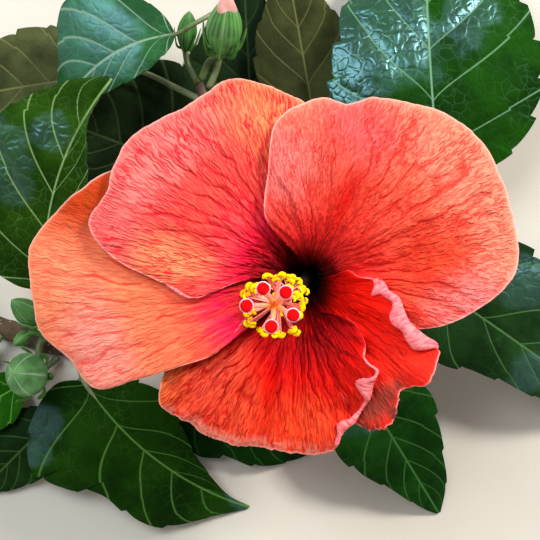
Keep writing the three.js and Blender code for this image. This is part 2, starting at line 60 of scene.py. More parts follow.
# rim holds the outline as [degrees, mm from the axis], middle the petal's own direction, rise the
# mm that it is higher RISE_REACH along, ruffle the mm that its margin waves, most past the share strong.
PETALS = [
    dict(
        name="petal_top_left", slot="coral_petal", middle=108, rise=-1, ruffle=0.8, strong=None,
        rim=[[71, 14], [71, 32], [79, 50], [93, 59], [107, 66], [120, 64], [139, 67], [154, 64],
             [163, 66], [171, 56], [178, 41], [186, 33], [178, 22], [164, 15]],
    ),
    dict(
        name="petal_top_right", slot="coral_petal", middle=36, rise=3, ruffle=0.9, strong=None,
        rim=[[-25, 15], [-24, 27], [-18, 39], [-9, 51], [5, 66], [22, 69], [37, 71], [50, 69],
             [68, 62], [74, 58], [82, 58], [96, 51], [103, 37], [114, 25], [111, 18], [98, 12]],
    ),
    dict(
        name="petal_right", slot="red_petal", middle=-36, rise=7, ruffle=2, strong=0.42,
        rim=[[-83, 15], [-73, 37], [-65, 47], [-59, 50], [-50, 48], [-43, 44], [-35, 49], [-28, 48],
             [-22, 47], [-19, 40], [-14, 35], [-6, 32], [-1, 28], [5, 26], [10, 21], [18, 19],
             [12, 13], [2, 10]],
    ),
    dict(
        name="petal_bottom", slot="red_petal", middle=-108, rise=-13, ruffle=1.6, strong=0.6,
        rim=[[-155, 17], [-157, 32], [-152, 45], [-140, 58], [-130, 57], [-118, 56], [-108, 53],
             [-98, 52], [-86, 52], [-77, 51], [-72, 46], [-65, 43], [-56, 40], [-49, 37],
             [-44, 36], [-45, 31], [-38, 28], [-32, 22], [-38, 17], [-55, 13]],
    ),
    dict(
        name="petal_left", slot="coral_petal", middle=-180, rise=-6, ruffle=1, strong=None,
        rim=[[-197, 16], [-213, 31], [-220, 46], [-216, 63], [-205, 72], [-195, 79], [-188, 84],
             [-175, 84], [-169, 84], [-162, 78], [-153, 74], [-150, 60], [-146, 45], [-141, 33],
             [-149, 20]],
    ),
]


# Small tools
def smooth(low, high, x):
    t = np.clip((np.asarray(x, float) - low) / (high - low), 0, 1)
    return t * t * (3 - 2 * t)


def lerp(a, b, t):
    return a + (b - a) * t


def unit(v):
    v = np.asarray(v, float)
    return v / np.maximum(np.linalg.norm(v, axis=-1, keepdims=True), 1e-9)


def noise(x, y, seed):
    """Smooth noise from 0 to 1, one cell to a unit."""
    table = np.random.default_rng(seed).random((64, 64))
    x, y = np.broadcast_arrays(np.asarray(x, float), np.asarray(y, float))
    i, j = np.floor(x).astype(int), np.floor(y).astype(int)
    fx, fy = smooth(0, 1, x - i), smooth(0, 1, y - j)

    def at(di, dj):
        return table[(j + dj) % 64, (i + di) % 64]

    return lerp(lerp(at(0, 0), at(1, 0), fx), lerp(at(0, 1), at(1, 1), fx), fy)


def layers(x, y, seed, count=3):
    """Noise with finer and finer noise added, from 0 to 1."""
    total = sum(noise(x * 2**k, y * 2**k, seed + k) / 2**k for k in range(count))
    return total / (2 - 2.0 ** (1 - count))


def ridges(x, y, seed):
    """1 along winding lines, falling to 0 between them."""
    return 1 - np.abs(2 * noise(x, y, seed) - 1)


class Curve:
    """A smooth curve through points, met by the share of its length."""

    def __init__(self, points, steps=40):
        p = np.asarray(points, float)
        p = np.vstack([2 * p[0] - p[1], p, 2 * p[-1] - p[-2]])
        t = np.linspace(0, 1, steps, endpoint=False)[:, None]
        runs = []
        for a, b, c, d in zip(p[:-3], p[1:-2], p[2:-1], p[3:]):
            k0, k1, k2 = (max(1e-4, np.linalg.norm(w - v) ** 0.5) for v, w in ((a, b), (b, c), (c, d)))
            m1 = ((b - a) / k0 - (c - a) / (k0 + k1) + (c - b) / k1) * k1
            m2 = ((c - b) / k1 - (d - b) / (k1 + k2) + (d - c) / k2) * k1
            runs.append(b + m1 * t + (3 * (c - b) - 2 * m1 - m2) * t**2 + (2 * (b - c) + m1 + m2) * t**3)
        self.points = np.vstack(runs + [p[-2:-1]])
        steps = np.linalg.norm(np.diff(self.points, axis=0), axis=1)
        self.length = steps.sum()
        self.share = np.concatenate([[0], np.cumsum(steps)]) / self.length

    def at(self, share):
        return np.stack([np.interp(share, self.share, axis) for axis in self.points.T], axis=-1)


def averaged(values, count):
    """Each value's mean with its neighbours, count of them in all."""
    return np.convolve(np.pad(values, count // 2, "edge"), np.ones(count) / count, "valid")


def outward_at(turn):
    return np.array([math.cos(turn), math.sin(turn), 0])


def across_axis(axis):
    """Two directions across an axis."""
    across = unit(np.cross([0.0, 1.0, 0.0] if abs(axis[1]) < 0.9 else [1.0, 0.0, 0.0], axis))
    return across, np.cross(axis, across)


def grid_faces(index):
    corners = [index[:-1, :-1], index[:-1, 1:], index[1:, 1:], index[1:, :-1]]
    return np.stack(corners, axis=-1).reshape(-1, 4)


def ring_of(index):
    """The border of a grid of indices, once round."""
    return np.concatenate([index[0, :-1], index[:-1, -1], index[-1, :0:-1], index[:0:-1, 0]])


def normals_of(surface):
    across = np.gradient(surface, axis=1)
    along = np.gradient(surface, axis=0)
    return unit(np.cross(across, along))


class Piece:
    """Gathers surfaces, each with its marks for the materials, and makes one object of them."""

    def __init__(self):
        self.points, self.faces, self.finishes, self.uv, self.marks, self.count = [], [], [], [], [], 0

    def add(self, points, faces, uv=None, finish=0, **marks):
        points = np.asarray(points, float).reshape(-1, 3)
        self.points.append(points)
        for block in faces:
            block = (np.asarray(block) + self.count).tolist()
            self.faces += block
            self.finishes += [finish] * len(block)
        self.uv.append(np.zeros((len(points), 2)) if uv is None else np.asarray(uv, float).reshape(-1, 2))
        filled = {k: np.broadcast_to(np.asarray(v, float).ravel(), len(points)) for k, v in marks.items()}
        self.marks.append((len(points), filled))
        self.count += len(points)

    def make(self, name, materials, slot, *nodes):
        mesh = bpy.data.meshes.new(name)
        mesh.from_pydata(((np.vstack(self.points) + SHIFT) * MM).tolist(), [], self.faces)
        corner = np.empty(len(mesh.loops), int)
        mesh.loops.foreach_get("vertex_index", corner)
        layer = mesh.uv_layers.new(name="UVMap")
        layer.data.foreach_set("uv", np.vstack(self.uv)[corner].ravel())
        for key in sorted({k for _, marks in self.marks for k in marks}):
            values = np.concatenate([marks.get(key, np.zeros(n)) for n, marks in self.marks])
            mesh.attributes.new(key, "FLOAT", "POINT").data.foreach_set("value", values)
        mesh.polygons.foreach_set("use_smooth", [True] * len(mesh.polygons))
        mesh.polygons.foreach_set("material_index", self.finishes)
        for material in materials:
            mesh.materials.append(material)
        mesh.update()
        piece = bpy.data.objects.new(name, mesh)
        bpy.context.scene.collection.objects.link(piece)
        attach(piece, "root")
        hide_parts(*nodes)


def add_blade(piece, surface, thickness, uv, finish=0, **marks):
    """A thin closed blade. Its upper face has all points of the surface, its lower one every second."""
    rows, cols = surface.shape[:2]
    offset = normals_of(surface) * (np.broadcast_to(thickness, (rows, cols))[..., None] / 2)
    upper = surface + offset
    lower = (surface - offset)[::2, ::2]
    top = np.arange(rows * cols).reshape(rows, cols)
    low = np.arange(lower.shape[0] * lower.shape[1]).reshape(lower.shape[:2]) + rows * cols
    a, b = ring_of(top), ring_of(low)
    k = np.arange(len(b))
    side = np.stack([b[k], b[(k + 1) % len(b)], a[(2 * k + 2) % len(a)], a[2 * k + 1], a[2 * k]], axis=-1)
    joined = {key: np.concatenate([m.ravel(), m[::2, ::2].ravel()]) for key, m in marks.items()}
    joined["back"] = np.concatenate([np.zeros(top.size), np.ones(low.size)])
    uv = np.vstack([uv.reshape(-1, 2), uv[::2, ::2].reshape(-1, 2)])
    points = np.vstack([upper.reshape(-1, 3), lower.reshape(-1, 3)])
    piece.add(points, [grid_faces(top), grid_faces(low)[:, ::-1], side], uv, finish, **joined)


def across_path(path, first=None):
    """Two directions across the path, at each of its points."""
    along = unit(np.gradient(path, axis=0))
    guess = np.array([0.0, 0.0, 1.0]) if first is None else np.asarray(first, float)
    if abs(along[0] @ unit(guess)) > 0.95:
        guess = np.array([1.0, 0.0, 0.0])
    sides = []
    for direction in along:
        guess = unit(guess - direction * (guess @ direction))
        sides.append(guess)
    sides = np.array(sides)
    return sides, np.cross(along, sides)


def add_rings(piece, points, finish=0, **marks):
    """A closed form from rows of rings, with flat ends."""
    n, sides = points.shape[:2]
    index = np.arange(n * sides).reshape(n, sides)
    wrapped = np.concatenate([index, index[:, :1]], axis=1)
    filled = {k: np.broadcast_to(v, (n, sides)) for k, v in marks.items()}
    piece.add(points, [grid_faces(wrapped), [index[0][::-1]], [index[-1]]], None, finish, **filled)


def add_tube(piece, path, radius, sides=12, flat=1.0, first=None, relief=None, finish=0):
    """A closed tube along a path. flat squeezes it across, and relief(around, share) adds to its radius."""
    path = np.asarray(path, float)
    n = len(path)
    up, across = across_path(path, first)
    around = np.arange(sides) / sides * 2 * np.pi
    share = np.linspace(0, 1, n)[:, None]
    r = np.broadcast_to(np.asarray(radius, float).reshape(-1, 1), (n, sides)).copy()
    if relief is not None:
        r += relief(around[None, :], share)
    to_side = np.cos(around)[None, :, None] * across[:, None, :]
    to_top = flat * np.sin(around)[None, :, None] * up[:, None, :]
    add_rings(piece, path[:, None, :] + (to_side + to_top) * r[..., None], finish, share=share)


def turned(foot, tip, profile, sides, rows, swell=None):
    """The points of a form turned about the line from foot to tip, as rows of rings.
    profile holds [mm out, mm along], and swell(around, share) scales how far out it is."""
    foot, tip = np.asarray(foot, float), np.asarray(tip, float)
    axis = unit(tip - foot)
    across, other = across_axis(axis)
    share = np.linspace(0, 1, rows)
    outline = Curve(profile).at(share)
    around = np.arange(sides) / sides * 2 * np.pi
    scale = 1.0 if swell is None else swell(around[None, :], share[:, None])
    out = outline[:, :1] * np.ones((1, sides)) * scale
    points = foot + outline[:, None, 1:2] * axis
    return points + out[..., None] * (np.cos(around)[:, None] * across + np.sin(around)[:, None] * other)


def add_ball(piece, centre, radii, rows, sides, finish, bumps=0.0, seed=0):
    turn = np.linspace(0.02, np.pi - 0.02, rows)[:, None]
    around = (np.arange(sides) / sides * 2 * np.pi)[None, :]
    x, y = np.sin(turn) * np.cos(around), np.sin(turn) * np.sin(around)
    ball = np.stack([x, y, -np.cos(turn) + 0 * around], -1)
    rng = np.random.default_rng(seed)
    ball = ball * (1 + bumps * (rng.random((rows, sides, 1)) - 0.5))
    add_rings(piece, np.asarray(centre) + ball * np.asarray(radii, float), finish)


# Materials
def colour(text):
    """A colour written as on the web, in linear light."""
    values = [int(text[i : i + 2], 16) / 255 for i in (0, 2, 4)]
    return (*[v / 12.92 if v <= 0.04045 else ((v + 0.055) / 1.055) ** 2.4 for v in values], 1.0)


class Finish:
    """Builds one procedural material."""

    def __init__(self, name, **settings):
        self.material = bpy.data.materials.new(name)
        self.material.use_nodes = True
        self.tree = self.material.node_tree
        self.shader = self.tree.nodes["Principled BSDF"]
        for key, value in settings.items():
            self.shader.inputs[key.replace("_", " ")].default_value = value

    def plug(self, value, socket):
        if isinstance(value, bpy.types.NodeSocket):
            self.tree.links.new(value, socket)
        elif isinstance(value, str):
            socket.default_value = colour(value)
        else:
            socket.default_value = value

    def put(self, kind, inputs, output=0, **settings):
        node = self.tree.nodes.new(kind)
        for key, value in settings.items():
            setattr(node, key, value)
        for key, value in inputs.items():
            self.plug(value, node.inputs[key])
        return node.outputs[output]

    def mark(self, name):
        return self.put("ShaderNodeAttribute", {}, "Fac", attribute_name=name)

    def scaled(self, where, scale):
        return self.put("ShaderNodeMapping", {"Vector": where, "Scale": scale})

    def place(self, scale=(1, 1, 1)):
        """The place on the object, in metres."""
        return self.scaled(self.put("ShaderNodeTexCoord", {}, "Object"), scale)

    def wavy_uv(self, amount):
        """The place in the UV map, moved about a little so that straight lines wave."""
        where = self.put("ShaderNodeTexCoord", {}, "UV")
        cloud = self.put("ShaderNodeTexNoise", {"Vector": where, "Scale": 30, "Detail": 2.0}, "Color")
        moved = self.put("ShaderNodeVectorMath", {0: cloud, 1: (0.5, 0.5, 0.5)}, operation="SUBTRACT")
        moved = self.put("ShaderNodeVectorMath", {0: moved, 3: amount}, operation="SCALE")
        return self.put("ShaderNodeVectorMath", {0: where, 1: moved}, operation="ADD")

    def noise(self, vector, scale, detail=3.0, rough=0.5):
        inputs = {"Vector": vector, "Scale": scale, "Detail": detail, "Roughness": rough}
        return self.put("ShaderNodeTexNoise", inputs, "Fac")

    def cells(self, vector, scale, feature="DISTANCE_TO_EDGE"):
        inputs = {"Vector": vector, "Scale": scale}
        return self.put("ShaderNodeTexVoronoi", inputs, "Distance", feature=feature)

    def math(self, operation, a, b=0.0):
        return self.put("ShaderNodeMath", {0: a, 1: b}, operation=operation)

    def times(self, a, b):
        return self.math("MULTIPLY", a, b)

    def away(self, a, b):
        """How far apart two values are."""
        return self.math("ABSOLUTE", self.math("SUBTRACT", a, b))

    def range(self, value, low, high, to_low=0.0, to_high=1.0):
        inputs = {"Value": value, "From Min": low, "From Max": high, "To Min": to_low, "To Max": to_high}
        return self.put("ShaderNodeMapRange", inputs, interpolation_type="SMOOTHSTEP")

    def mix(self, share, a, b):
        return self.put("ShaderNodeMix", {0: share, 6: a, 7: b}, 2, data_type="RGBA")

    def clouded(self, noise, dark, light):
        """Dark where the noise is low, and light where it is high."""
        return self.mix(self.range(noise, 0.35, 0.65), dark, light)

    def ramp(self, value, stops):
        node = self.tree.nodes.new("ShaderNodeValToRGB")
        self.plug(value, node.inputs[0])
        points = node.color_ramp.elements
        while len(points) < len(stops):
            points.new(0.5)
        for point, (place, tint) in zip(points, stops):
            point.position = place
            point.color = colour(tint)
        return node.outputs[0]

    def bump(self, height, strength, distance, below=None):
        inputs = {"Height": height, "Strength": strength, "Distance": distance}
        if below is not None:
            inputs["Normal"] = below
        return self.put("ShaderNodeBump", inputs)

    def end(self, tint=None, rough=None, normal=None):
        for value, key in ((tint, "Base Color"), (rough, "Roughness"), (normal, "Normal")):
            if value is not None:
                self.plug(value, self.shader.inputs[key])
        return self.material


# Petals
def axis_at(z):
    return BLOOM_FOOT[:2] + BLOOM_LEAN * (np.asarray(z)[..., None] - BLOOM_FOOT[2])


def rise_at(angle):
    total = 0
    for petal in PETALS:
        away = np.radians(angle - petal["middle"])
        total = total + petal["rise"] * (1 + 2 * np.cos(away) + 2 * np.cos(2 * away)) / len(PETALS)
    return total


def bloom_point(angle, run, lift):
    """The surface that all petals follow, run mm along it from the foot and lift mm above it."""
    flare = np.hypot(run, FUNNEL_FLARE)
    radius = FUNNEL_RADIUS + flare - FUNNEL_FLARE
    share = np.exp(-run / FUNNEL_REACH)
    height = FUNNEL_DEPTH * (1 - share) + rise_at(angle) * (run / RISE_REACH) ** 2
    outward = run / flare
    upward = FUNNEL_DEPTH / FUNNEL_REACH * share
    slope = np.hypot(outward, upward)
    reach = radius - lift * upward / slope
    z = BLOOM_FOOT[2] + height + lift * outward / slope
    turn = np.radians(angle)
    flat = axis_at(z) + np.stack([reach * np.cos(turn), reach * np.sin(turn)], axis=-1)
    return np.concatenate([flat, z[..., None]], axis=-1)


# How each petal looks.
# grid: its points across and along. pleat and crease: their depths, and spacing: the mm between creases.
# wrinkle, depth and length: how strong in colour, how deep and how long (mm) its fine wrinkles are.
# patches: how much darker the inner half is in places. ragged: the mm by which the rim strays.
# flap, torn and dull name places in the rim's list: [place, mm of the margin that is folded back],
# [from, to, mm of jags], and the place after which the edge isn't pale.
# folds: larger folds as [degrees, half width in degrees, mm]. stops: colours at shares of PETAL_REACH.
# areas: tinted areas as [degrees, mm along, half width in degrees, half width in mm, colour]. A few of them
# paint shade and light.
# vein, margin and worn: the colours of the wrinkles (also painted as shade in the creases), the pale edge
# and the torn parts.
PETAL_LOOKS = {
    "petal_top_left": dict(
        grid=[351, 191], pleat=1.0, crease=0.45, spacing=2.8, wrinkle=1.0, depth=2.0, length=7.5,
        patches=0.1, ragged=0.5, flap=[[10.0, 0], [10.4, 0.7], [10.8, 0.5], [11.1, 0]],
        torn=[[1.5, 4.5, 0.35]], dull=None, folds=[[152, 5, 0.8], [128, 4, -0.6], [104, 4, 0.6]],
        stops=[[0.2, "2a0000"], [0.25, "8a0010"], [0.285, "ee0a46"], [0.35, "fc4a50"], [0.46, "fa5446"],
               [0.6, "f64e44"], [0.8, "f8706a"]],
        areas=[[98, 62, 16, 16, "fc8454"], [168, 46, 12, 12, "ff9060"], [140, 64, 26, 10, "fc7a72"]],
        vein="e01c2c", margin="ffc0b4", worn="6e3428",
    ),
    "petal_top_right": dict(
        grid=[361, 191], pleat=1.2, crease=0.35, spacing=3.0, wrinkle=0.85, depth=1.6, length=4.0,
        patches=0.3, ragged=0.5, flap=[[0, 0]], torn=[], dull=None,
        folds=[[30, 5, 0.9], [52, 4, -0.9], [12, 5, -0.7], [70, 5, 0.8]],
        stops=[[0.1, "1c0000"], [0.17, "6a0008"], [0.22, "f82a30"], [0.3, "f8322c"], [0.45, "f8563e"],
               [0.58, "f86044"], [0.74, "fc8e72"]],
        # the second area, dark red at 61 degrees, is painted shade in a deep valley between the pleats
        areas=[[98, 44, 20, 16, "fa7870"], [61, 36, 7, 16, "dc1812"], [12, 48, 16, 12, "f04a2c"],
               [-8, 60, 14, 14, "f0807a"], [66, 60, 18, 12, "ee5e5c"]],
        vein="d4281e", margin="ffc0b4", worn="6e3428",
    ),
    "petal_right": dict(
        grid=[301, 181], pleat=0.6, crease=0.25, spacing=2.6, wrinkle=0.5, depth=1.1, length=5.0,
        patches=0.05, ragged=0.8,
        flap=[[8.0, 0], [8.3, 1.4], [8.6, 3.6], [8.9, 4.8], [9.2, 4.0], [9.6, 2.6], [10.0, 4.2],
              [10.3, 4.2], [10.6, 2.6], [11.0, 1.7], [11.9, 1.5], [12.3, 3.6], [12.6, 5.0],
              [12.9, 5.4], [13.1, 0]],
        torn=[[1.8, 5.6, 1.6]], dull=None, folds=[[-16, 4, 1.2], [-27, 4, -0.8]],
        stops=[[0.08, "200000"], [0.14, "460000"], [0.2, "dc0a04"], [0.26, "ff1606"], [0.35, "ff1a0a"],
               [0.5, "ff2c1c"]],
        areas=[[-56, 49, 14, 4.5, "8c3a2c"]],
        vein="b00804", margin="ffa8a4", worn="6e3428",
    ),
    "petal_bottom": dict(
        grid=[331, 181], pleat=1.5, crease=0.75, spacing=3.0, wrinkle=0.9, depth=1.8, length=9.0,
        patches=0.1, ragged=0.9,
        flap=[[9.0, 0], [9.4, 0.9], [9.8, 0.7], [10.1, 2.4], [10.4, 2.2], [10.8, 1.2], [11.3, 0.5],
              [12.0, 0.6], [12.3, 3.4], [12.6, 4.9], [12.9, 3.8], [13.2, 0.5], [14.0, 0.5],
              [15.0, 0.4], [15.4, 0]],
        torn=[[3.0, 9.2, 0.9]], dull=15.3,
        folds=[[-136, 2, -1.6], [-131, 3, 1.5], [-112, 2.6, 1.7], [-106, 2.4, -1.8], [-100, 2.6, 1.6],
               [-119, 2.6, -1.5], [-90, 3, -0.9], [-150, 7, -2.2]],
        stops=[[0.14, "200000"], [0.23, "6a0006"], [0.32, "b0060c"], [0.39, "e41006"], [0.46, "ea1a06"],
               [0.56, "f8341c"], [0.66, "fa5230"]],
        # the first area is painted light grazing the curled-down left margin, and the second is painted
        # light over a place that lies in shade near the left petal
        areas=[[-148, 54, 9, 18, "ea7238"], [-134, 43, 13, 12, "ff5a40"], [-88, 49, 16, 10, "ff4c26"],
               [-118, 48, 10, 12, "ff5434"]],
        vein="b80404", margin="ffc4bc", worn="ec9480",
    ),
    "petal_left": dict(
        grid=[331, 191], pleat=0.7, crease=0.3, spacing=2.8, wrinkle=0.55, depth=0.9, length=6.5,
        patches=0.0, ragged=0.6, flap=[[0, 0]], torn=[[8.5, 11.5, 0.3]], dull=None,
        folds=[[-176, 4, 0.6], [-160, 4, -0.6], [-196, 5, -0.6]],
        stops=[[0.2, "300000"], [0.29, "860004"], [0.345, "e60a4c"], [0.39, "f82c50"], [0.45, "fc6048"],
               [0.55, "fb7a50"], [0.9, "fb8c62"]],
        # the first area, a deep orange at the top, is painted shadow cast by the top left petal
        areas=[[-204, 77, 13, 26, "b43e0c"], [-160, 74, 18, 14, "ff9a86"]],
        vein="ee3430", margin="ffd8cc", worn="6e3428",
    ),
}
ROLL_RADIUS = 0.6
UV_UNIT = 100.0  # mm in one unit of the petals' UV map
ARC_AT = 45.0  # mm from the axis, where that holds across a petal too
PETAL_REACH = 90.0  # mm along a petal, where the mark reach is 1
WRINKLES = ((62, -0.2, 0.4), (118, 0.4, 0.72), (185, 0.72, 1.3))  # waves across UV_UNIT, between reaches
MAIN_VEINS = ((11, -0.2, 0.6), (23, 0.3, 0.9))  # how many, between shares of the way to the rim
RIM_STEPS = 80


def petal_material(petal):
    look = PETAL_LOOKS[petal["name"]]
    skin = Finish("skin_" + petal["name"], Roughness=0.62, Specular_IOR_Level=0.08)
    where = skin.wavy_uv(0.014)
    reach = skin.mark("reach")
    calm = skin.mark("calm")

    def streaks(across, along, detail, rough):
        """Noise with so many waves to UV_UNIT across the petal and along it."""
        return skin.noise(skin.scaled(where, (across, along, 1)), 1.0, detail, rough)

    moved = skin.math("ADD", reach, skin.range(streaks(110, 7, 4, 0.55), 0.3, 0.7, -0.035, 0.035))
    tint = skin.ramp(moved, look["stops"])
    for i, area in enumerate(look["areas"]):
        tint = skin.mix(skin.mark(f"area_{i}"), tint, area[4])

    # the wrinkles keep nearly one width: coarse ones give way to finer ones outward
    raised = 0.0
    for across, start, stop in WRINKLES:
        weight = skin.times(skin.range(reach, start - 0.06, start + 0.06),
                            skin.range(reach, stop - 0.06, stop + 0.06, 1.0, 0.0))
        wave = streaks(across, UV_UNIT / look["length"], 2, 0.55)
        raised = skin.math("ADD", skin.times(wave, weight), raised)
    broad = streaks(14, 9, 3, 0.6)
    shown = skin.times(calm, skin.range(broad, 0.35, 0.65, 0.5 * look["wrinkle"], look["wrinkle"]))
    line = skin.range(skin.away(raised, 0.45), 0.01, 0.09, 1.0, 0.0)
    patches = skin.times(skin.range(broad, 0.46, 0.62), skin.range(reach, 0.5, 0.7, look["patches"], 0.0))
    fine = streaks(170, 40, 4, 0.65)
    grain = skin.range(fine, 0.45, 0.75, 0.0, 0.12)
    # the main veins are a darker red, and the same colour is painted as shade along the creases
    vein_and_crease_shade = skin.range(skin.mark("crease"), 0.35, 0.95, 0.0, 0.7)
    for share in (skin.times(line, shown), vein_and_crease_shade, patches, grain):
        tint = skin.mix(share, tint, look["vein"])
    normal = skin.bump(skin.times(raised, calm), 1.0, look["depth"] * MM, skin.bump(fine, 0.6, 0.3 * MM))

    tint = skin.mix(skin.times(skin.mark("rim"), 0.6), tint, look["margin"])
    spots = skin.range(skin.noise(skin.place(), 300, 4, 0.7), 0.4, 0.6)
    tint = skin.mix(skin.times(skin.mark("torn"), spots), tint, look["worn"])
    # the underside is satin, and so is the margin where it is folded over
    satin = skin.clouded(fine, "e85a68", "fb8c8a")
    lower = skin.times(skin.mark("back"), skin.range(reach, 0.25, 0.4, 0.0, 0.85))
    tint = skin.mix(skin.math("MAXIMUM", skin.mark("under"), lower), tint, satin)
    return skin.end(tint, None, normal)


def petal_rim(petal, look, u, seed):
    """At each share u of the rim: its degrees, the mm along the surface to it, and flap, torn and dull."""
    corners = [[r * math.cos(math.radians(a)), r * math.sin(math.radians(a))] for a, r in petal["rim"]]
    curve = Curve(corners, RIM_STEPS)

    def share_at(place):
        return curve.share[min(int(place * RIM_STEPS), len(curve.share) - 1)]

    rim = curve.at(u)
    radius = np.hypot(rim[:, 0], rim[:, 1])
    radius = radius + look["ragged"] * 2.0 * (layers(u * 40, seed, seed, 4) - 0.5) * smooth(16, 30, radius)
    torn = np.zeros(len(u))
    for start, stop, mm in look["torn"]:
        a, b = share_at(start), share_at(stop)
        part = smooth(a, a + 0.03, u) * (1 - smooth(b - 0.03, b, u))
        jags = ridges(u * 75, seed, seed + 7) * 0.6 + ridges(u * 150, seed, seed + 8) * 0.4 - 0.6
        radius = radius + mm * part * jags
        torn = np.maximum(torn, part * min(1.0, mm / 1.2))
    dull = smooth(share_at(look["dull"]), share_at(look["dull"] + 0.6), u) if look["dull"] else 0
    places, widths = zip(*look["flap"])
    flap = averaged(np.interp(u, [share_at(place) for place in places], widths, 0, 0), 3)
    plain = np.degrees(np.arctan2(rim[:, 1], rim[:, 0]))
    angle = plain + 360 * np.round((petal["middle"] - plain) / 360)
    flared = radius - FUNNEL_RADIUS + FUNNEL_FLARE
    run = np.sqrt(np.maximum(0, flared**2 - FUNNEL_FLARE**2))
    return angle, run, flap, torn, dull


def petal_lines(look, across, U, V, run, width, seed):
    """Creases and main veins on a petal, each 0 where there is none."""
    # creases keep their own width while the petal widens, by passing from coarse to fine ones
    wanted = np.log2(np.maximum(width, 4) / look["spacing"])
    crease = 0
    for k in range(2, 8):
        share = np.clip(1 - np.abs(wanted - k), 0, 1)
        crease = crease + share * ridges(across * 2**k, run / 13, seed + 30 + k) ** 3
    # main veins spread from the foot, and twice as many run in the outer half
    veins = 0
    for count, start, stop in MAIN_VEINS:
        drift = (layers(U * 3, run / 20, seed + 70 + count) - 0.5) * 0.9
        line = np.abs(((across * count + drift) % 1) - 0.5) * width / count
        shown = smooth(start - 0.15, start + 0.15, V) * (1 - smooth(stop - 0.25, stop + 0.1, V))
        shown = shown * smooth(0.2, 0.55, layers(U * 16, run / 14, seed + 80 + count))
        veins = np.maximum(veins, np.exp(-((line / 0.45) ** 2)) * shown)
    return crease, veins


def rolled_margin(surface, U, past, roll, flap, rim_angle, rim_run, seed):
    """How far to move the points past the rim, so that the margin rolls over, and how much of it is over."""
    # the roll goes straight across the rim, whichever way the rim runs
    edge = surface[-1]
    onward = unit(np.gradient(np.stack([averaged(axis, 13) for axis in edge.T], axis=-1), axis=0))
    level = 0 * rim_run
    upright = bloom_point(rim_angle, rim_run, level + 1.0) - bloom_point(rim_angle, rim_run, level)
    outward = unit(np.cross(onward, upright))
    outward = outward * np.sign(np.sum(outward * (edge - surface[len(surface) // 2]), axis=-1))[:, None]
    upward = unit(np.cross(onward, outward))
    upward = upward * np.sign(upward[:, 2:3])
    phase = np.clip(past / roll, 0, np.pi)
    straight = np.maximum(past - np.pi * roll, 0)
    puff = 0.7 * np.sin(np.pi * np.clip(straight / np.maximum(flap, 0.1), 0, 1)) * smooth(0, 2, flap)
    out = roll * np.sin(phase) - straight
    up = roll * (1 - np.cos(phase)) + puff + 0.25 * straight * (layers(U * 70, seed, seed + 140) - 0.3)
    over = smooth(0.25 * np.pi, 0.6 * np.pi, phase) * smooth(0.1, 0.6, flap)
    return out[..., None] * outward + up[..., None] * upward, over


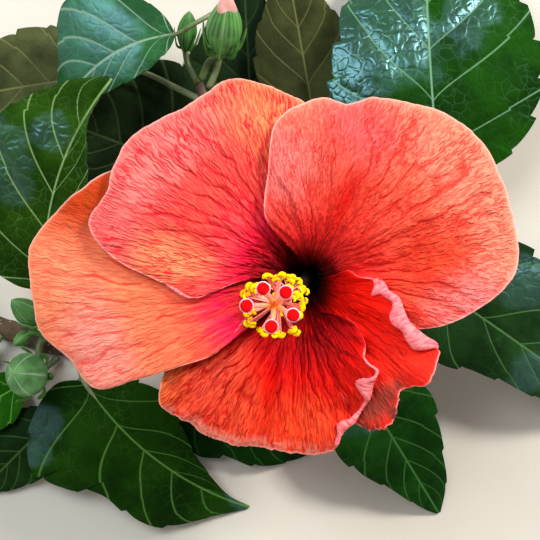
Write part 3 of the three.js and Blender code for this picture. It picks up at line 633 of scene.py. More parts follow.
def make_petal(petal, seed):
    look = PETAL_LOOKS[petal["name"]]
    cols, rows = look["grid"]
    u = np.linspace(1, 0, cols)
    rim_angle, rim_run, flap, torn, dull = petal_rim(petal, look, u, seed)
    roll = np.maximum(ROLL_RADIUS * smooth(0, 1.2, flap), 1e-3)
    total = rim_run + np.pi * roll + flap
    S = np.linspace(0, 1, rows)[:, None] * total
    run = np.minimum(S, rim_run)
    past = np.maximum(S - rim_run, 0)
    away = rim_run - run
    V = run / rim_run
    U = np.broadcast_to(u, V.shape)

    # the petal lies on the bloom's surface, higher towards its anticlockwise edge
    middle = petal["middle"]
    angle = lerp(middle + CLAW_SPREAD * (2 * U - 1), rim_angle, V)
    gap = lerp(LIFT_AT_FOOT, LIFT_AT_RIM, smooth(0, 24, run))
    strong = smooth(petal["strong"] - 0.06, petal["strong"] + 0.06, U) if petal["strong"] else 0
    wave = 0.5 + 0.5 * np.sin(U * 34 + middle)
    ruffle = petal["ruffle"] * (0.35 + strong) * wave * smooth(0.6, 1, V) * smooth(10, 30, run)
    lift = gap * (angle - middle) / FIFTH + ruffle

    width = np.linalg.norm(np.gradient(bloom_point(angle, run, lift), axis=1), axis=-1) * (cols - 1)
    across = U + (layers(U * 9, run / 7, seed + 20) - 0.5) * 4.0 / np.maximum(width, 10)
    crease, veins = petal_lines(look, across, U, V, run, width, seed)
    patchy = smooth(0.3, 0.7, layers(U * 7, run / 15, seed + 90))
    calm = lerp(0.35, 1, smooth(0, 2, away)) * smooth(8, 24, run)
    inner = smooth(12, 32, run)
    pleats = (layers(across * 13, run / 45, seed + 100, 2) - 0.5) * 2 * inner
    puckers = (layers(across * 34, run / 18, seed + 105, 2) - 0.5) * 2 * inner
    lift = lift + look["pleat"] * (pleats + 0.5 * puckers)
    for turn, half_turn, mm in look["folds"]:
        strayed = 1.5 * half_turn * (layers(run / 14, seed + turn, seed + 130) - 0.5)
        bent = (angle - turn + strayed) / half_turn
        lift = lift + mm * np.exp(-(bent**2)) * smooth(14, 40, run)
    lift = lift - look["crease"] * calm * (crease * (0.5 + 0.8 * patchy) + 1.2 * veins)
    lift = lift + 0.3 * (layers(U * 44, run / 3.6, seed + 110, 2) - 0.5) * calm
    surface = bloom_point(angle, run, lift)
    moved, over = rolled_margin(surface, U, past, roll, flap, rim_angle, rim_run, seed)

    # darker red along the main veins, and painted shade along the creases
    pinch = np.clip(crease * (0.4 + 0.7 * patchy) * 0.9 + 1.2 * veins * smooth(2, 20, run), 0, 1)
    marks = {
        "reach": run / PETAL_REACH,
        "calm": calm,
        "crease": calm * pinch * (1 - over),
        "rim": (1 - smooth(0.1, 0.6, away)) * smooth(22, 36, run) * (1 - dull),
        "under": over,
        "torn": torn * (1 - smooth(1.0, 5.0, away)),
    }
    for i, (turn, mm, half_turn, half_mm, _) in enumerate(look["areas"]):
        far = np.hypot((angle - turn) / half_turn, (run - mm) / half_mm)
        far = far + (layers(U * 9, run / 12, seed + 120 + i) - 0.5) * 0.6
        marks[f"area_{i}"] = (1 - smooth(0.2, 1.6, far)) ** 1.2
    piece = Piece()
    uv = np.stack([np.radians(angle - middle) * ARC_AT / UV_UNIT + 0.5, (run + past) / UV_UNIT], axis=-1)
    add_blade(piece, surface + moved, PETAL_THICKNESS, uv, **marks)
    piece.make(petal["name"] + "_looks", [petal_material(petal)], petal["slot"], petal["name"])


# Leaves
LEAF_THICKNESS = 0.5
# base and tip are where the blade starts and ends, and left and right its edges as [mm along, mm aside].
# arch is how far its middle stands up, sway how far the midrib bends aside, and quilt how far the blade
# swells between its veins, all in mm. fold and droop are how steeply each half rises and how its edge
# falls back, petiole is the stalk's points, and gloss its waxy places as [mm along, mm aside, mm across].
PLAIN_LEAF = dict(slot="leaf", sway=0, fold=[0, 0], droop=0.1, teeth=6, quilt=0.5, rough=0.5, gloss=[])
LEAVES = [
    dict(
        name="leaf_bottom_left", base=[-69.3, -40.8, 15], tip=[-6.9, -91.1, 0.7], arch=7, sway=-6,
        left=[[5, 8], [18, 14], [30, 15], [38, 11], [48, 5], [60, 1], [70, -1]],
        right=[[-7, 8], [-6, 25], [1, 37], [10, 41], [20, 37], [33, 30], [48, 30], [58, 26], [68, 14],
               [74, 7]],
        fold=[0.04, -0.04], droop=0.12, teeth=8, petiole=[[-73, -30.8, 7.4]],
        main="1a3d04", vein="55803a", quilt=0.35, rough=0.34, gloss=[[-2, -22, 8], [4, -33, 6], [75, 3, 8]],
    ),
    dict(
        name="leaf_bottom_middle", base=[-33.8, -46, 9], tip=[17.2, -68.8, 0.7], arch=3,
        left=[[2, 9], [14, 16], [30, 15], [46, 6]],
        right=[[3, 11], [14, 20], [26, 16], [38, 14.5], [46, 10], [52, 5]],
        droop=0.08, petiole=[[-32, -28.6, 4.4]],
        main="0f2e06", vein="254f20", quilt=0.3, rough=0.35, gloss=[[4, 14, 8]],
    ),
    dict(
        name="leaf_bottom_right", base=[29.7, -36.9, 24], tip=[65, -93.6, 0.7], arch=6,
        left=[[3, 9], [13, 19], [22, 21], [33, 18], [46, 13], [57, 8]],
        right=[[2, 8], [10, 17], [22, 21], [33, 18], [46, 11], [61, 4]],
        fold=[0.1, 0.1], petiole=[[24, -21, 15], [22.4, -14.6, 8.8]],
        main="16400c", vein="3f6c34", quilt=0.25, rough=0.38, gloss=[[16, -6, 9]],
    ),
    dict(
        name="leaf_right", base=[55.5, -2.9, 28], tip=[137.6, -59.2, 0.7], arch=10,
        left=[[3, 15], [13, 28], [26, 31], [44, 27], [64, 18], [84, 7]],
        right=[[0, 10], [8, 18], [20, 23], [34, 18], [46, 15], [62, 12], [82, 5]],
        fold=[0.1, 0.08], droop=0.12, teeth=8, petiole=[[45.8, -5.3, 13]],
        main="20401a", vein="4f7a46", quilt=0.35, rough=0.42, gloss=[[30, 18, 12], [50, -6, 10]],
    ),
    dict(
        name="leaf_top_right", base=[60.6, 32.1, 30], tip=[59.2, 143, 0.7], arch=13, sway=3,
        left=[[6, 18], [22, 34], [34, 40], [52, 37], [66, 33], [84, 23], [100, 8]],
        right=[[3, 16], [12, 29], [28, 37], [44, 39], [60, 35], [80, 26], [98, 11]],
        fold=[0.06, 0.08], teeth=10, petiole=[[52, 10, 22], [43.4, -3.3, 13.6]],
        main="174203", vein="6a9470", quilt=0.6, rough=0.3,
        gloss=[[58, 24, 30], [34, 32, 14], [62, -12, 14], [90, 10, 20]],
    ),
    dict(
        name="leaf_left", base=[-80.8, -7.2, 27], tip=[-53.8, 66.9, 46], arch=5, sway=7,
        left=[[-2, 10], [2, 24], [12, 32], [26, 36], [42, 36], [56, 32], [66, 22], [74, 11]],
        right=[[5, 5], [16, 8], [28, 8], [42, 4], [52, 0], [60, -3], [70, -2]],
        fold=[0.1, 0.42], teeth=10, petiole=[[-76, -16, 17], [-73, -25.2, 6.7]],
        main="244606", vein="7d9c62", quilt=0.6, rough=0.36, gloss=[[42, 28, 13], [52, 14, 8], [30, 20, 8]],
    ),
    dict(
        name="leaf_top_left", base=[-33.2, 83, 37.5], tip=[-76, 56.1, 27], arch=4, sway=-6,
        left=[[4, 3], [14, 5.5], [26, 5], [36, 3], [44, 1]],
        right=[[0, 8], [5, 20], [14, 29], [26, 33], [34, 26], [41, 15], [46, 8]],
        fold=[0.06, 0.05],
        petiole=[[-24.4, 86.8, 42], [-18.6, 90, 39], [-17.5, 85, 30], [-19, 74, 25], [-22.4, 66.8, 20.8]],
        main="2f6638", vein="7f9a80", quilt=0.25, rough=0.42, gloss=[[24, -14, 18]],
    ),
    dict(
        name="leaf_far_left", slot="old_leaf", base=[-66.8, 72, 12], tip=[-126.1, 64, 0.7], arch=4,
        left=[[2, 8], [12, 16], [28, 18], [42, 11]],
        right=[[2, 12], [11, 21], [26, 22], [42, 15]],
        fold=[0.02, 0.02], petiole=[[-50, 74, 15], [-34, 67, 16], [-25.7, 62.8, 17.2]],
        main="4a502e", vein="6a6a44",
    ),
    dict(
        name="leaf_top_middle", slot="old_leaf", base=[17, 52, 12], tip=[6, 118, 0.7], arch=5,
        left=[[3, 9], [16, 18], [34, 18], [50, 11]],
        right=[[3, 9], [16, 18], [34, 18], [50, 11]],
        fold=[0.2, 0.2], petiole=[[10, 28, 12], [3, 12, 9.6]],
        main="3c4020", vein="5a5a34",
    ),
    dict(
        name="leaf_behind_top", slot="old_leaf", base=[-26, 36, 7], tip=[-78, 56, 6], arch=2,
        left=[[2, 8], [14, 18], [32, 21], [46, 15]],
        right=[[-2, 12], [0, 30], [12, 39], [30, 36], [48, 20]],
        droop=0.04, petiole=[[-18.6, 33.4, 8.6], [-13.9, 33.6, 11.2]],
        main="1c2c14", vein="3c4a2a", quilt=0.6, rough=0.45,
    ),
    dict(
        name="leaf_behind_bud", slot="old_leaf", base=[-6, 38, 3.2], tip=[-10, 112, 0.7], arch=1.5,
        left=[[2, 12], [16, 24], [36, 26], [56, 16]],
        right=[[2, 10], [16, 18], [36, 20], [56, 14]],
        droop=0.05, petiole=[[-4, 29, 5.4], [-5.1, 23.3, 8.5]],
        main="16240e", vein="2c3c1c",
    ),
    dict(
        name="leaf_young_left", slot="young_leaf", base=[-94, -43, 6], tip=[-122, -60, 2], arch=3,
        left=[[1, 5], [9, 11], [20, 10], [28, 5]],
        right=[[1, 5], [9, 11], [20, 10], [28, 5]],
        fold=[0.2, 0.2], droop=0.05, teeth=5, petiole=[[-86, -38, 5], [-80.4, -33.2, 4.6]],
        main="2c6c0a", vein="5a9a3a", quilt=0.3, rough=0.4,
    ),
    dict(
        name="leaf_lower_left", slot="old_leaf", base=[-82, -56, 5], tip=[-112, -86, 0.7], arch=2,
        left=[[1, 7], [12, 14], [26, 11], [36, 5]],
        right=[[1, 7], [12, 14], [26, 11], [36, 5]],
        droop=0.05, teeth=5, petiole=[[-72, -42, 4], [-68, -33.4, 4.2]],
        main="1e3814", vein="3a5a2a", quilt=0.3,
    ),
    dict(
        name="leaf_small_left", slot="young_leaf", base=[-104, -29, 9], tip=[-125, -39, 5], arch=1,
        left=[[1, 3], [8, 6.5], [16, 4]],
        right=[[1, 3], [8, 6.5], [16, 4]],
        fold=[0.1, 0.1], droop=0.05, teeth=3, petiole=[[-101, -24.8, 8]],
        main="245a0c", vein="4a8a2a", quilt=0.2, rough=0.4,
    ),
]
LEAF_GRID = (141, 91)
SMALL_LEAF_GRID = (81, 61)  # also for the old leaves, which are dull and lie low
LARGE_LEAF = 60  # mm long
BLADE_START = 0.015
TOOTH_DEPTH = 0.09
LEAF_UV_UNIT = 160
SHEEN_OF_WAX = (0.42, 0.85, 1.0, 1.0)
STALK_RADII = (1.25, 0.7)
# where each side vein leaves the midrib and where it ends, as shares of the blade's length
SIDE_VEINS = np.array([[0.0, 0.12], [0.02, 0.4], [0.25, 0.6], [0.42, 0.74], [0.58, 0.85], [0.74, 0.94]])
VEIN_BEND = 0.85
VEIN_SHIFT = 0.02  # how much further on the left half's veins end than the right half's


def leaf_material(leaf):
    skin = Finish("skin_" + leaf["name"], Specular_Tint=SHEEN_OF_WAX)
    main = np.array(colour(leaf["main"])[:3])
    dark, light, pale = ((*shade, 1.0) for shade in (0.45 * main, 0.95 * main, 0.475 * main + 0.08))
    tint = skin.clouded(skin.noise(skin.place(), 45, 3, 0.6), dark, light)
    net = skin.cells(skin.wavy_uv(0.02), 40)
    shown = skin.range(skin.noise(skin.place(), 60, 2, 0.5), 0.4, 0.65, 0.02, 0.13)
    tint = skin.mix(skin.times(skin.range(net, 0.0, 0.05, 1.0, 0.0), shown), tint, leaf["vein"])
    # phase counts the side veins, gap is the mm between them and mid the mm from the midrib
    part = skin.math("FRACT", skin.math("ADD", skin.mark("phase"), 0.5))
    to_side = skin.times(skin.away(part, 0.5), skin.mark("gap"))
    side_vein = skin.range(to_side, 0.08, 0.4, 0.65, 0.0)
    midrib = skin.range(skin.math("ABSOLUTE", skin.mark("mid")), 0.15, 0.65, 0.9, 0.0)
    vein = skin.math("MAXIMUM", side_vein, midrib)
    tint = skin.mix(vein, tint, leaf["vein"])
    tint = skin.mix(skin.times(skin.mark("back"), 0.7), tint, pale)
    fine = skin.noise(skin.place(), 700, 3, 0.6)
    swollen = skin.bump(skin.range(net, 0.0, 0.2), 0.6, 0.3 * leaf["quilt"] * MM)
    normal = skin.bump(fine, 0.2, 0.2 * MM, swollen)
    # the waxy places shine, less along the veins and not at all underneath
    waxy = skin.times(skin.mark("gloss"), skin.range(vein, 0.0, 0.6, 1.0, 0.5))
    waxy = skin.times(waxy, skin.math("SUBTRACT", 1.0, skin.mark("back")))
    rough = skin.range(waxy, 0.0, 1.0, 0.62, leaf["rough"])
    skin.plug(skin.range(waxy, 0.0, 1.0, 0.03, 1.0), skin.shader.inputs["Specular IOR Level"])
    return skin.end(tint, rough, normal)


def distance_to(lines, x, y):
    """mm from each point to the nearest of the lines."""
    best = np.full(x.shape, 1e9)
    for line in lines:
        for (ax, ay), (bx, by) in zip(line[:-1], line[1:]):
            dx, dy = bx - ax, by - ay
            t = np.clip(((x - ax) * dx + (y - ay) * dy) / max(dx * dx + dy * dy, 1e-9), 0, 1)
            best = np.minimum(best, np.hypot(x - ax - t * dx, y - ay - t * dy))
    return best


def vein_marks(S, SIDE, length):
    """How many side veins each place in the blade lies past, and the mm between them there."""
    starts, stops = SIDE_VEINS.T
    spread = np.abs(SIDE[..., None]) ** VEIN_BEND
    knots = starts + (stops + VEIN_SHIFT * np.sign(SIDE[..., None]) - starts) * spread
    knots = np.concatenate([knots[..., :1] - 0.3, knots, knots[..., -1:] + 0.3], axis=-1)
    steps = np.diff(knots, axis=-1)
    counts = np.array([0.5] + [1.0] * (len(starts) - 1) + [0.5])
    passed = np.clip((S[..., None] - knots[..., :-1]) / steps, 0, 1)
    inside = (S[..., None] >= knots[..., :-1]) & (S[..., None] < knots[..., 1:])
    phase = (passed * counts).sum(-1) - 0.5
    gap = 0.7 * length * (steps / counts * inside).sum(-1)
    return phase, gap


def make_leaf(leaf, seed):
    leaf = {**PLAIN_LEAF, **leaf}
    base, tip = np.array(leaf["base"], float), np.array(leaf["tip"], float)
    forward = (tip - base)[:2]
    length = np.linalg.norm(forward)
    forward = forward / length
    left = np.array([-forward[1], forward[0]])
    margins = [
        Curve([[0, 0]] + [[a, hand * c] for a, c in leaf[key]] + [[length, 0]])
        for key, hand in (("left", 1), ("right", -1))
    ]

    def flat_place(s, side):
        """(along, across) in mm of a place in the blade, and how far it is from the midrib."""
        hump = 4 * s * (1 - s)
        edge = np.where((side > 0)[..., None], margins[0].at(s), margins[1].at(s))
        tooth = (s * leaf["teeth"]) % 1
        notch = 1 - TOOTH_DEPTH * (1 - np.sqrt(tooth)) * smooth(0.4, 1, np.abs(side)) * smooth(0, 0.15, hump)
        along = lerp(length * s, edge[..., 0], np.abs(side))
        across = lerp(leaf["sway"] * hump, edge[..., 1], np.abs(side) * notch)
        reach = np.abs(side) * np.hypot(edge[..., 0] - length * s, edge[..., 1] - leaf["sway"] * hump)
        return along, across, reach

    def flat_line(s, side):
        return np.stack(flat_place(s, side)[:2], axis=-1)

    rows, cols = LEAF_GRID if length > LARGE_LEAF and leaf["slot"] != "old_leaf" else SMALL_LEAF_GRID
    SIDE, S = np.meshgrid(np.linspace(1, -1, cols), np.linspace(BLADE_START, 1 - BLADE_START, rows))
    along, across, reach = flat_place(S, SIDE)
    place = np.clip(along / (length * (1 - BLADE_START)), 0, 1)
    spine = lerp(base[2], tip[2], place) + leaf["arch"] * 4 * place * (1 - place)
    fold = np.where(SIDE > 0, *leaf["fold"])
    height = spine + fold * reach - leaf["droop"] * reach * np.abs(SIDE)

    # the blade swells between its veins, and waves along its edge
    out = np.linspace(0, 0.96, 14)
    sides = [
        flat_line(lerp(start, stop + VEIN_SHIFT * hand, out**VEIN_BEND), hand * out)
        for hand in (1, -1) for start, stop in SIDE_VEINS
    ]
    mid_s = np.linspace(BLADE_START, 0.97, 24)
    near = distance_to([flat_line(mid_s, 0 * mid_s), *sides], along, across)
    swell = 1.3 * (1 - np.exp(-near / 2.2))
    swell = swell + 0.9 * (layers(along / 7, across / 7, seed) - 0.5) * smooth(0.5, 3, near)
    swell = swell + 0.35 * (ridges(along / 3.2, across / 3.2, seed + 9) - 0.5) * smooth(0.5, 2, near)
    swell = swell * smooth(0, 4, (1 - np.abs(SIDE)) * 20)
    swell = swell + 0.9 * np.sin(S * 25 + seed) * smooth(0.6, 1, np.abs(SIDE))
    height = np.maximum(height + leaf["quilt"] * swell, 0.3)
    flat = base[:2] + along[..., None] * forward + across[..., None] * left
    surface = np.concatenate([flat, height[..., None]], axis=-1)

    phase, gap = vein_marks(S, SIDE, length)
    gloss = np.full(along.shape, 0.03)
    for at, off, size in leaf["gloss"]:
        strayed = 0.9 * (layers(along / 9, across / 9, seed + 40) - 0.5)
        far = np.hypot(along - at, across - off) / size + strayed
        gloss = np.maximum(gloss, 1 - smooth(0.45, 1.15, far))
    piece = Piece()
    uv = np.stack([along / LEAF_UV_UNIT, across / LEAF_UV_UNIT + 0.5], axis=-1)
    mid = reach * np.sign(SIDE)
    add_blade(piece, surface, LEAF_THICKNESS, uv, phase=phase, gap=gap, mid=mid, gloss=gloss)

    in_blade = surface[rows // 10, cols // 2] - [0, 0, 0.4]
    path = Curve([*leaf["petiole"][::-1], base, in_blade]).at(np.linspace(0, 1, 40))
    add_tube(piece, path, np.linspace(*STALK_RADII, 40), 12, finish=1,
             relief=lambda around, share: 0.05 * np.sin(around * 3 + share * 9))
    piece.make(leaf["name"] + "_looks", [leaf_material(leaf), STALK], leaf["slot"], leaf["name"])


# Stems, with the points and the radius of each limb, all in mm
LIMBS = [
    dict(name="main_stem", slot="bark", path=[
        [-131, -19, 3.9, 3.9], [-112, -19, 3.9, 3.8], [-78, -29, 3.7, 3.6], [-30, -24, 3.5, 3.4],
        [6, -12, 3.6, 3.1]]),
    dict(name="flower_stalk", slot="green_stem", path=[
        [6.5, -10.4, 7.5, 2.1], [8, -7, 18, 1.9], [12.5, -3, 32, 1.9], [15.2, -1.2, 40.8, 2.4]]),
    dict(name="right_twig", slot="green_stem", path=[
        [10.2, -12.4, 4.3, 2.7], [26, -11, 8, 2.4], [44, -6, 12, 2]]),
    dict(name="top_twig", slot="bark", path=[
        [4.6, -6, 6.2, 2.7], [-2, 14, 10, 2.4], [-16, 42, 15, 2.1], [-26, 68, 21, 1.8]]),
    dict(name="top_bud_stalk", slot="green_stem", path=[
        [-24.6, 70.6, 22.6, 1.4], [-22, 75, 28, 1.2], [-17.6, 75.6, 35.6, 1.3]]),
    dict(name="small_bud_stalk", slot="green_stem", path=[
        [-27.6, 70.4, 22.4, 1.2], [-30, 75, 21, 1.1], [-30.8, 78.6, 21, 1.1]]),
    dict(name="left_shoot", slot="green_stem", path=[
        [-77, -25.3, 7.4, 1.6], [-82, -24.5, 12, 1.5], [-85.5, -27.4, 14, 1.4], [-85, -36, 15.2, 1.5]]),
]
INTO_BEARER = 2.6
INTO_BORNE = 1.8
RING_SPACING = 0.7
KNOT_SPACING = 17
CUT_RADIUS = 3.55


def bark_material():
    skin = Finish("bark_skin", Roughness=0.8)
    wide = skin.noise(skin.place(), 120, 4, 0.6)
    green = skin.noise(skin.place(), 50, 2, 0.5)
    spots = skin.cells(skin.place(), 420, "F1")
    grain = skin.noise(skin.place(), 900, 4, 0.7)
    tint = skin.clouded(wide, "2c1d12", "5e4834")
    tint = skin.mix(skin.range(green, 0.5, 0.7, 0.0, 0.5), tint, "46502a")
    tint = skin.mix(skin.range(spots, 0.12, 0.2, 0.8, 0.0), tint, "9a8a6e")
    return skin.end(tint, None, skin.bump(grain, 0.5, 0.4 * MM, skin.bump(wide, 0.4, 0.8 * MM)))


def cut_material():
    skin = Finish("cut_wood", Roughness=0.7)
    rings = skin.noise(skin.place((0.2, 1, 1)), 900, 3, 0.6)
    tint = skin.mix(skin.range(rings, 0.3, 0.7), "c9b183", "e6d6ae")
    return skin.end(tint, None, skin.bump(rings, 0.3, 0.3 * MM))


def green_material(name, dark, light):
    skin = Finish(name, Roughness=0.5)
    fine = skin.noise(skin.place(), 700, 4, 0.6)
    tint = skin.clouded(skin.noise(skin.place(), 90, 3, 0.6), dark, light)
    tint = skin.mix(skin.range(fine, 0.5, 0.8, 0.0, 0.3), tint, "1c2c0c")
    return skin.end(tint, None, skin.bump(fine, 0.25, 0.3 * MM))


BARK = bark_material()
CUT = cut_material()
STEM = green_material("green_stem_skin", "3a4a1c", "5f7a38")
STALK = green_material("leaf_stalk_skin", "4a5a34", "6f7a50")


def make_limb(limb, seed):
    path = np.array(limb["path"], float)
    points = path[:, :3]
    woody = limb["slot"] == "bark"
    is_main = limb["name"] == "main_stem"
    curve = Curve(points)
    share = np.linspace(0, 1, int(curve.length / RING_SPACING))
    line = curve.at(share)
    radius = np.interp(share * (len(path) - 1), np.arange(len(path)), path[:, 3])
    # every limb reaches into what it bears, and all but the main stem start inside what bears them
    start = [] if is_main else [line[0] + unit(points[0] - points[1]) * INTO_BEARER]
    line = np.vstack([*start, line, line[-1] + unit(points[-1] - points[-2]) * INTO_BORNE])
    radius = np.concatenate([radius[: len(start)], radius, radius[-1:] * 0.9])
    mm = np.linspace(0, curve.length, len(line))
    knots = np.zeros(len(line))
    for k in range(1, int(curve.length / KNOT_SPACING)):
        at = k * KNOT_SPACING + 5 * math.sin(k * 2.3 + seed)
        knots = knots + 0.11 * np.exp(-(((mm - at) / 1.6) ** 2))

    def relief(around, share):
        cracks = layers(around * 3.2, mm[:, None] / 9, seed, 3) - 0.5
        grain = layers(around * 7, mm[:, None] / 2, seed + 5, 3) - 0.5
        rough = (0.05 if woody else 0.02) * (1.6 * cracks + grain)
        return radius[:, None] * (knots[:, None] + rough)

    piece = Piece()
    add_tube(piece, line, radius * 0.98, 28, relief=relief)
    if is_main:
        face = np.array([line[0] + [-0.02, 0, 0], line[0] + [0.4, 0, 0]])
        add_tube(piece, face, [CUT_RADIUS] * 2, 28, finish=1)
    piece.make(limb["name"] + "_looks", [BARK if woody else STEM, CUT], limb["slot"], limb["name"])


# Buds, with the mm of their radius and of their bracts' length, and the colours dark, light and seam
BUDS = [
    dict(name="bud_top", foot=[-17.2, 76.4, 38.2], tip=[-14.3, 91.5, 55], radius=6.2, bracts=7, bract=11,
         skin=["bud_top_skin", "1f5a14", "3f8a2c", "86b070"]),
    dict(name="bud_top_small", foot=[-31, 80.4, 22], tip=[-28.8, 92.6, 31], radius=3.6, bracts=6, bract=9,
         skin=["bud_small_skin", "1c4a10", "2f6a1c", "4a8a34"]),
    dict(name="bud_left", foot=[-85.4, -39.2, 17.5], tip=[-91.6, -36.6, 33], radius=8, bracts=7, bract=10,
         skin=["bud_left_skin", "3c6c34", "5c9450", "a8bfa0"]),
    dict(name="bud_left_upper", foot=[-84.6, -19.2, 18.4], tip=[-93.2, -10.8, 27.6], radius=4.6, bracts=6,
         bract=7, skin=["bud_upper_skin", "1e4a16", "356c26", "5a8a48"],
         stalk=[[-82.4, -22.9, 14], [-82.8, -21.4, 16]]),
    dict(name="bud_left_small", foot=[-89, -23.4, 16.6], tip=[-94, -27.6, 20.6], radius=2.4, bracts=5,
         bract=5, skin=["bud_left_small_skin", "2a5a18", "3f7a28", "6a9a50"],
         stalk=[[-84.8, -24, 15.4], [-87, -23, 16.4]]),
]
BUD_PROFILE = [[0, 0], [0.35, 0.02], [0.72, 0.16], [1, 0.42], [0.86, 0.66], [0.48, 0.87], [0.02, 1]]
BUD_GRID = (60, 100)
BUD_STALK_RADIUS = 1.1
TIP_START = 0.72  # share of the bud's length from which its petals show
TIP_PROFILE = [[3.2, 0], [3.4, 2.4], [2.5, 5.4], [0.9, 7.6], [0.02, 8.2]]


def bud_material(name, dark, light, seam):
    skin = Finish(name, Roughness=0.5)
    tint = skin.clouded(skin.noise(skin.place(), 160, 3, 0.6), dark, light)
    tint = skin.mix(skin.mark("rib"), tint, seam)
    return skin.end(tint, None, skin.bump(skin.noise(skin.place(), 900, 3, 0.6), 0.2, 0.2 * MM))


def soft_material(name, dark, light, scale=500, rough=0.6):
    skin = Finish(name, Roughness=rough, Specular_IOR_Level=0.1)
    tint = skin.clouded(skin.noise(skin.place(), scale / 4, 3, 0.6), dark, light)
    return skin.end(tint, None, skin.bump(skin.noise(skin.place(), scale * 3, 3, 0.6), 0.3, 0.2 * MM))


def ramp_material(name, stops):
    """A material that changes along a tube."""
    skin = Finish(name, Roughness=0.6)
    return skin.end(skin.ramp(skin.mark("share"), stops))


BRACT = bud_material("bract_skin", "2c6418", "4f8a30", "7aa860")
PINK = soft_material("bud_petal_skin", "d89a90", "f0bcae")


def add_bract(piece, points, width, outward):
    """A narrow pointed blade, widest near its foot."""
    share = np.linspace(0, 1, 26)
    half = width / 2 * np.clip(1.15 - share, 0, 1) ** 0.6 * smooth(-0.2, 0.25, share)
    half[-1] = 0.05
    add_tube(piece, Curve(points).at(share), half, 12, flat=0.35, first=outward, finish=1)


def make_bud(bud, seed):
    foot, tip = np.array(bud["foot"], float), np.array(bud["tip"], float)
    length = np.linalg.norm(tip - foot)
    axis = unit(tip - foot)
    across, other = across_axis(axis)
    radius = bud["radius"]
    rows, sides = BUD_GRID
    share = np.linspace(0, 1, rows)[:, None]
    around = (np.arange(sides) / sides * 2 * np.pi)[None, :]
    lobes = np.abs(np.sin(2.5 * (around + 0.5 + seed)))  # 0 on the five seams
    seam = np.exp(-((lobes * radius / 0.9) ** 2))
    thread = 0.5 + 0.5 * np.cos(20 * around)
    swell = 0.97 - 0.06 * seam + 0.02 * thread * smooth(0.1, 0.5, share) + 0.03 * lobes
    rib = np.clip(0.9 * seam + 0.35 * thread * (bud["name"] != "bud_left"), 0, 1)
    piece = Piece()
    profile = [[r * radius, h * length] for r, h in BUD_PROFILE]
    add_rings(piece, turned(foot, tip, profile, sides, rows, lambda a, s: swell), 0, rib=rib)
    for i in range(bud["bracts"]):
        a = i / bud["bracts"] * 2 * math.pi
        out = math.cos(a) * across + math.sin(a) * other
        bend = 1.25 + 0.12 * math.sin(i * 2.1 + seed)
        places = ((0.1, 0.4), (0.8, 1.2), (1.12, bud["bract"] * 0.5), (bend, bud["bract"]))
        add_bract(piece, [foot + out * r * radius + axis * h for r, h in places], radius * 0.36, out)
    if "stalk" in bud:
        path = Curve(bud["stalk"] + [bud["foot"]]).at(np.linspace(0, 1, 20))
        add_tube(piece, path, np.full(20, BUD_STALK_RADIUS), 12, finish=1)
    if bud["name"] == "bud_top":
        start = foot + axis * length * TIP_START
        twist = lambda around, share: 1 + 0.1 * np.cos(3 * around + share * 4)
        add_rings(piece, turned(start, start + axis, TIP_PROFILE, 40, 24, twist), 2)
    piece.make(bud["name"] + "_looks", [bud_material(*bud["skin"]), BRACT, PINK], "bud", bud["name"])


# The calyx and the ring of bracts under the bloom
CALYX_WALL = [[0.3, -7.2], [3, -7], [5.6, -3], [7.2, 2], [7.7, 8], [8.3, 13]]
CALYX_LOBE = 11.0
CALYX_LOBES = 5
CALYX_GRID = (50, 160)
CALYX_THICKNESS = 0.7
RING_BOTTOM = 42.5
RING_PROFILE = [[1.5, 0], [2.6, 0.1], [4.2, 1.2], [4.5, 1.9], [2, 2.1]]
RING_BRACTS = 7
RING_BRACT = ((2.6, 0.1), (7.5, 0.6), (11, 5), (12.5, 11))
CALYX = bud_material("calyx_skin", "3a7424", "5a9440", "8ab474")


def make_calyx():
    rows, sides = CALYX_GRID
    A, S = np.meshgrid(np.linspace(0, 2 * np.pi, sides), np.linspace(0, 1, rows))
    outline = Curve(CALYX_WALL).at(S)
    lobe = np.cos(A * CALYX_LOBES / 2) ** 2
    z = outline[..., 1] + (CALYX_LOBE * (lobe - 0.35)) * smooth(0.55, 1, S) ** 1.5
    r = outline[..., 0] + 2.6 * lobe * smooth(0.55, 1, S)
    ribs = 0.5 + 0.5 * np.cos(A * 15)
    r = r + 0.12 * ribs * smooth(0, 0.3, S)
    z = z + BLOOM_FOOT[2]
    flat = axis_at(z) + np.stack([r * np.cos(A), r * np.sin(A)], axis=-1)
    surface = np.concatenate([flat, z[..., None]], axis=-1)
    uv = np.stack([A / 7, S], axis=-1)
    piece = Piece()
    add_blade(piece, surface[:-1, :-1], CALYX_THICKNESS, uv[:-1, :-1], rib=(0.7 * ribs**6)[:-1, :-1])
    piece.make("calyx_looks", [CALYX], "bud", "calyx")


def make_bract_ring():
    piece = Piece()
    x, y = axis_at(np.array(RING_BOTTOM))
    ring = turned([x, y, RING_BOTTOM - 0.8], [x, y, RING_BOTTOM + 3], RING_PROFILE, 60, 16)
    add_rings(piece, ring, 0, rib=0.1)
    for i in range(RING_BRACTS):
        out = outward_at((i + 0.4) / RING_BRACTS * 2 * math.pi)
        path = [[x + r * out[0], y + r * out[1], RING_BOTTOM + h] for r, h in RING_BRACT]
        add_bract(piece, path, 2.2, [0, 0, 1])
    piece.make("bract_ring_looks", [CALYX, BRACT], "bud", "bract_ring")


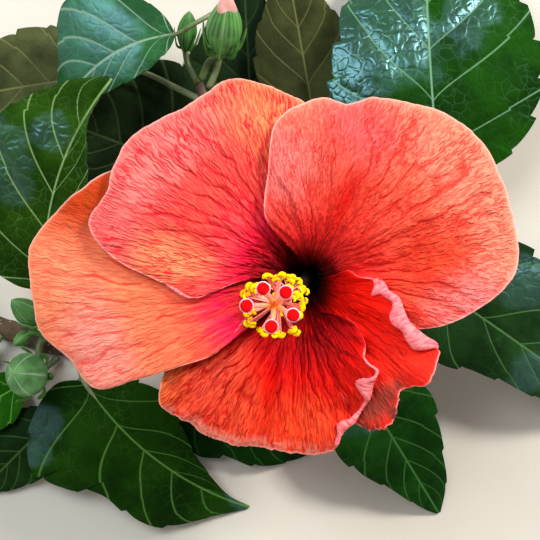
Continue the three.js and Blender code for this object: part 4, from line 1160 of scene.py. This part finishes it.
# Stamens and stigmas
COLUMN_TOP = np.array([1.2, -9.6, 134.0])
COLUMN_MIDDLE = [8, -5.4, 92]
COLUMN_RADII = (2.2, 1.5)
FILAMENT_RADII = (0.26, 0.18)
CLUMPS = 13
IN_CLUMP = 5
LOWER_ANTHERS = 18
GOLDEN_TURN = 2.399963
PADS = [[117, 5.0], [44, 5.0], [-24, 6.0], [-92, 5.4], [180, 6.6]]  # degrees and mm from PADS_MIDDLE
PADS_MIDDLE = np.array([0.5, -9.3, 148.0])
STYLE_RADII = (0.8, 0.6)
HUB_RADII = [1.7, 1.7, 1.4]
PAD_RIM_RADII = [1.95, 1.95, 0.8]
PAD_RADII = [1.68, 1.68, 0.95]

COLUMN = ramp_material("column_skin", [[0.5, "1c0000"], [0.8, "7a1810"], [0.95, "f07a5c"]])
FILAMENT = soft_material("filament_skin", "ee7a70", "f8a494")
ANTHER = soft_material("anther_skin", "f0b000", "ffe000", 900, 0.85)
STYLE = ramp_material("style_skin", [[0.1, "ff9838"], [0.5, "fb9a7c"], [0.9, "f8b0aa"]])
HUB = soft_material("hub_skin", "ff8a30", "ffae50")
PAD = soft_material("stigma_pad_skin", "c80004", "ec0008", 1500, 0.9)
PAD_RIM = soft_material("stigma_rim_skin", "f0a0a8", "f8c0c4", 600)


def add_stamen(piece, rng, start, end, out, size):
    """A filament with a kidney-shaped anther across its end."""
    bend = lerp(start, end, 0.5) + [0, 0, rng.uniform(-0.8, 0.2)]
    path = Curve([start, bend, end]).at(np.linspace(0, 1, 12))
    add_tube(piece, path, np.linspace(*FILAMENT_RADII, 12), 6, finish=1)
    across = unit(np.cross(out, [rng.uniform(-0.6, 0.6), rng.uniform(-0.6, 0.6), 1.0]))
    arc = np.linspace(-1.9, 1.9, 11)
    onward = np.outer((np.cos(arc) - 0.4) * size * 0.8, unit(out + [0, 0, 0.5]))
    bean = end + np.outer(np.sin(arc) * size, across) + onward
    fat = 0.56 * size * np.sqrt(np.clip(1 - (arc / 2.2) ** 2, 0.05, 1))
    add_tube(piece, bean, fat, 8, finish=2, relief=lambda around, s: 0.2 * (rng.random((11, 8)) - 0.5))


def make_column():
    piece = Piece()
    rng = np.random.default_rng(11)
    foot = axis_at(np.array(BLOOM_FOOT[2]))
    spine = Curve([[foot[0], foot[1], BLOOM_FOOT[2] - 0.6], COLUMN_MIDDLE, COLUMN_TOP])
    share = np.linspace(0, 1, 120)
    add_tube(piece, spine.at(share), lerp(*COLUMN_RADII, share), 20,
             relief=lambda around, s: 0.08 * np.cos(around * 5))
    for i in range(CLUMPS):
        out = outward_at((i + rng.uniform(-0.25, 0.25)) / CLUMPS * 2 * math.pi)
        start = spine.at(rng.uniform(0.84, 0.97))
        middle = COLUMN_TOP + out * rng.uniform(6.9, 8.4) + [0, 0, rng.uniform(-3.5, 1.0)]
        for _ in range(IN_CLUMP):
            add_stamen(piece, rng, start, middle + rng.normal(0, 0.55, 3), out, rng.uniform(0.7, 0.95))
    for i in range(LOWER_ANTHERS):
        out = outward_at(i * GOLDEN_TURN)
        start = spine.at(0.62 + 0.2 * i / LOWER_ANTHERS)
        end = start + out * rng.uniform(4, 6) + [0, 0, 2]
        add_stamen(piece, rng, start, end, out, rng.uniform(0.75, 0.95))
    piece.make("stamen_column_looks", [COLUMN, FILAMENT, ANTHER], "column", "stamen_column")


def make_stigmas():
    piece = Piece()
    middle = COLUMN_TOP + [0, 0, 0.6]
    add_ball(piece, middle + [0, 0, 0.3], HUB_RADII, 10, 16, finish=3)
    for i, (turn, reach) in enumerate(PADS):
        out = outward_at(math.radians(turn))
        pad = PADS_MIDDLE + out * reach
        bend = lerp(middle, pad, 0.55) + out * 0.9
        path = Curve([middle, bend, pad]).at(np.linspace(0, 1, 24))
        add_tube(piece, path, np.linspace(*STYLE_RADII, 24), 12)
        add_ball(piece, pad + [0, 0, -0.1], PAD_RIM_RADII, 14, 28, finish=1, bumps=0.03, seed=i)
        add_ball(piece, pad + [0, 0, 0.25], PAD_RADII, 18, 40, finish=2, bumps=0.08, seed=20 + i)
    piece.make("stigmas_looks", [STYLE, PAD_RIM, PAD, HUB], "stigma", "stigmas")


for k, limb in enumerate(LIMBS):
    make_limb(limb, 5 + k)
for k, leaf in enumerate(LEAVES):
    make_leaf(leaf, 100 + 10 * k)
for k, bud in enumerate(BUDS):
    make_bud(bud, k)
make_bract_ring()
make_calyx()
for k, petal in enumerate(PETALS):
    make_petal(petal, 300 + 200 * k)
make_column()
make_stigmas()

# Floor, light and camera, in metres and watts
FLOOR_SIZE = 4.0
LIGHT_TARGET = np.array([0, 0, 0.08])
LIGHTS = [
    dict(name="key", place=[0.8, 0.74, 1.0], size=0.28, power=24, tint=(1.0, 0.98, 0.94)),
    dict(name="sky", place=[-0.42, 0.5, 1.15], size=0.6, power=13, tint=(0.86, 0.94, 1.0)),
]
CAMERA_HEIGHT = 0.46
CAMERA_LENS = 80
CAMERA_SENSOR = 36
scene = bpy.context.scene


def make_floor():
    skin = Finish("floor_paint", Roughness=0.9)
    tint = skin.mix(skin.range(skin.noise(skin.place(), 8, 3, 0.5), 0.3, 0.7), "c7c1b4", "cfc9bd")
    mesh = bpy.data.meshes.new("floor")
    h = FLOOR_SIZE / 2
    mesh.from_pydata([(-h, -h, 0), (h, -h, 0), (h, h, 0), (-h, h, 0)], [], [(0, 1, 2, 3)])
    mesh.materials.append(skin.end(tint))
    floor = bpy.data.objects.new("floor", mesh)
    scene.collection.objects.link(floor)


def add_light(name, place, size, power, tint):
    data = bpy.data.lights.new(name, "AREA")
    data.shape = "SQUARE"
    data.size = size
    data.energy = power
    data.color = tint
    light = bpy.data.objects.new(name, data)
    light.location = place
    x, y, z = LIGHT_TARGET - place
    light.rotation_euler = (0, -math.atan2(math.hypot(x, y), -z), math.atan2(y, x))
    scene.collection.objects.link(light)


def make_world():
    """Soft light from all round, dim straight above, where the leaves' gloss would show it."""
    world = bpy.data.worlds.new("studio")
    world.use_nodes = True
    tree = world.node_tree
    where = tree.nodes.new("ShaderNodeTexCoord")
    split = tree.nodes.new("ShaderNodeSeparateXYZ")
    dim = tree.nodes.new("ShaderNodeMapRange")
    tree.links.new(where.outputs["Generated"], split.inputs[0])
    tree.links.new(split.outputs["Z"], dim.inputs["Value"])
    for key, value in (("From Min", 0.3), ("From Max", 0.92), ("To Min", 0.85), ("To Max", 0.1)):
        dim.inputs[key].default_value = value
    back = tree.nodes["Background"]
    back.inputs["Color"].default_value = (1.0, 0.98, 0.95, 1)
    tree.links.new(dim.outputs[0], back.inputs["Strength"])
    return world


def make_camera():
    data = bpy.data.cameras.new("camera")
    data.lens = CAMERA_LENS
    data.sensor_width = CAMERA_SENSOR
    data.clip_start = 0.01
    camera = bpy.data.objects.new("camera", data)
    camera.location = (SHIFT[0] * MM, SHIFT[1] * MM, CAMERA_HEIGHT)
    scene.collection.objects.link(camera)
    return camera


make_floor()
for light in LIGHTS:
    add_light(**light)
scene.world = make_world()
scene.view_settings.view_transform = "Standard"
scene.camera = make_camera()
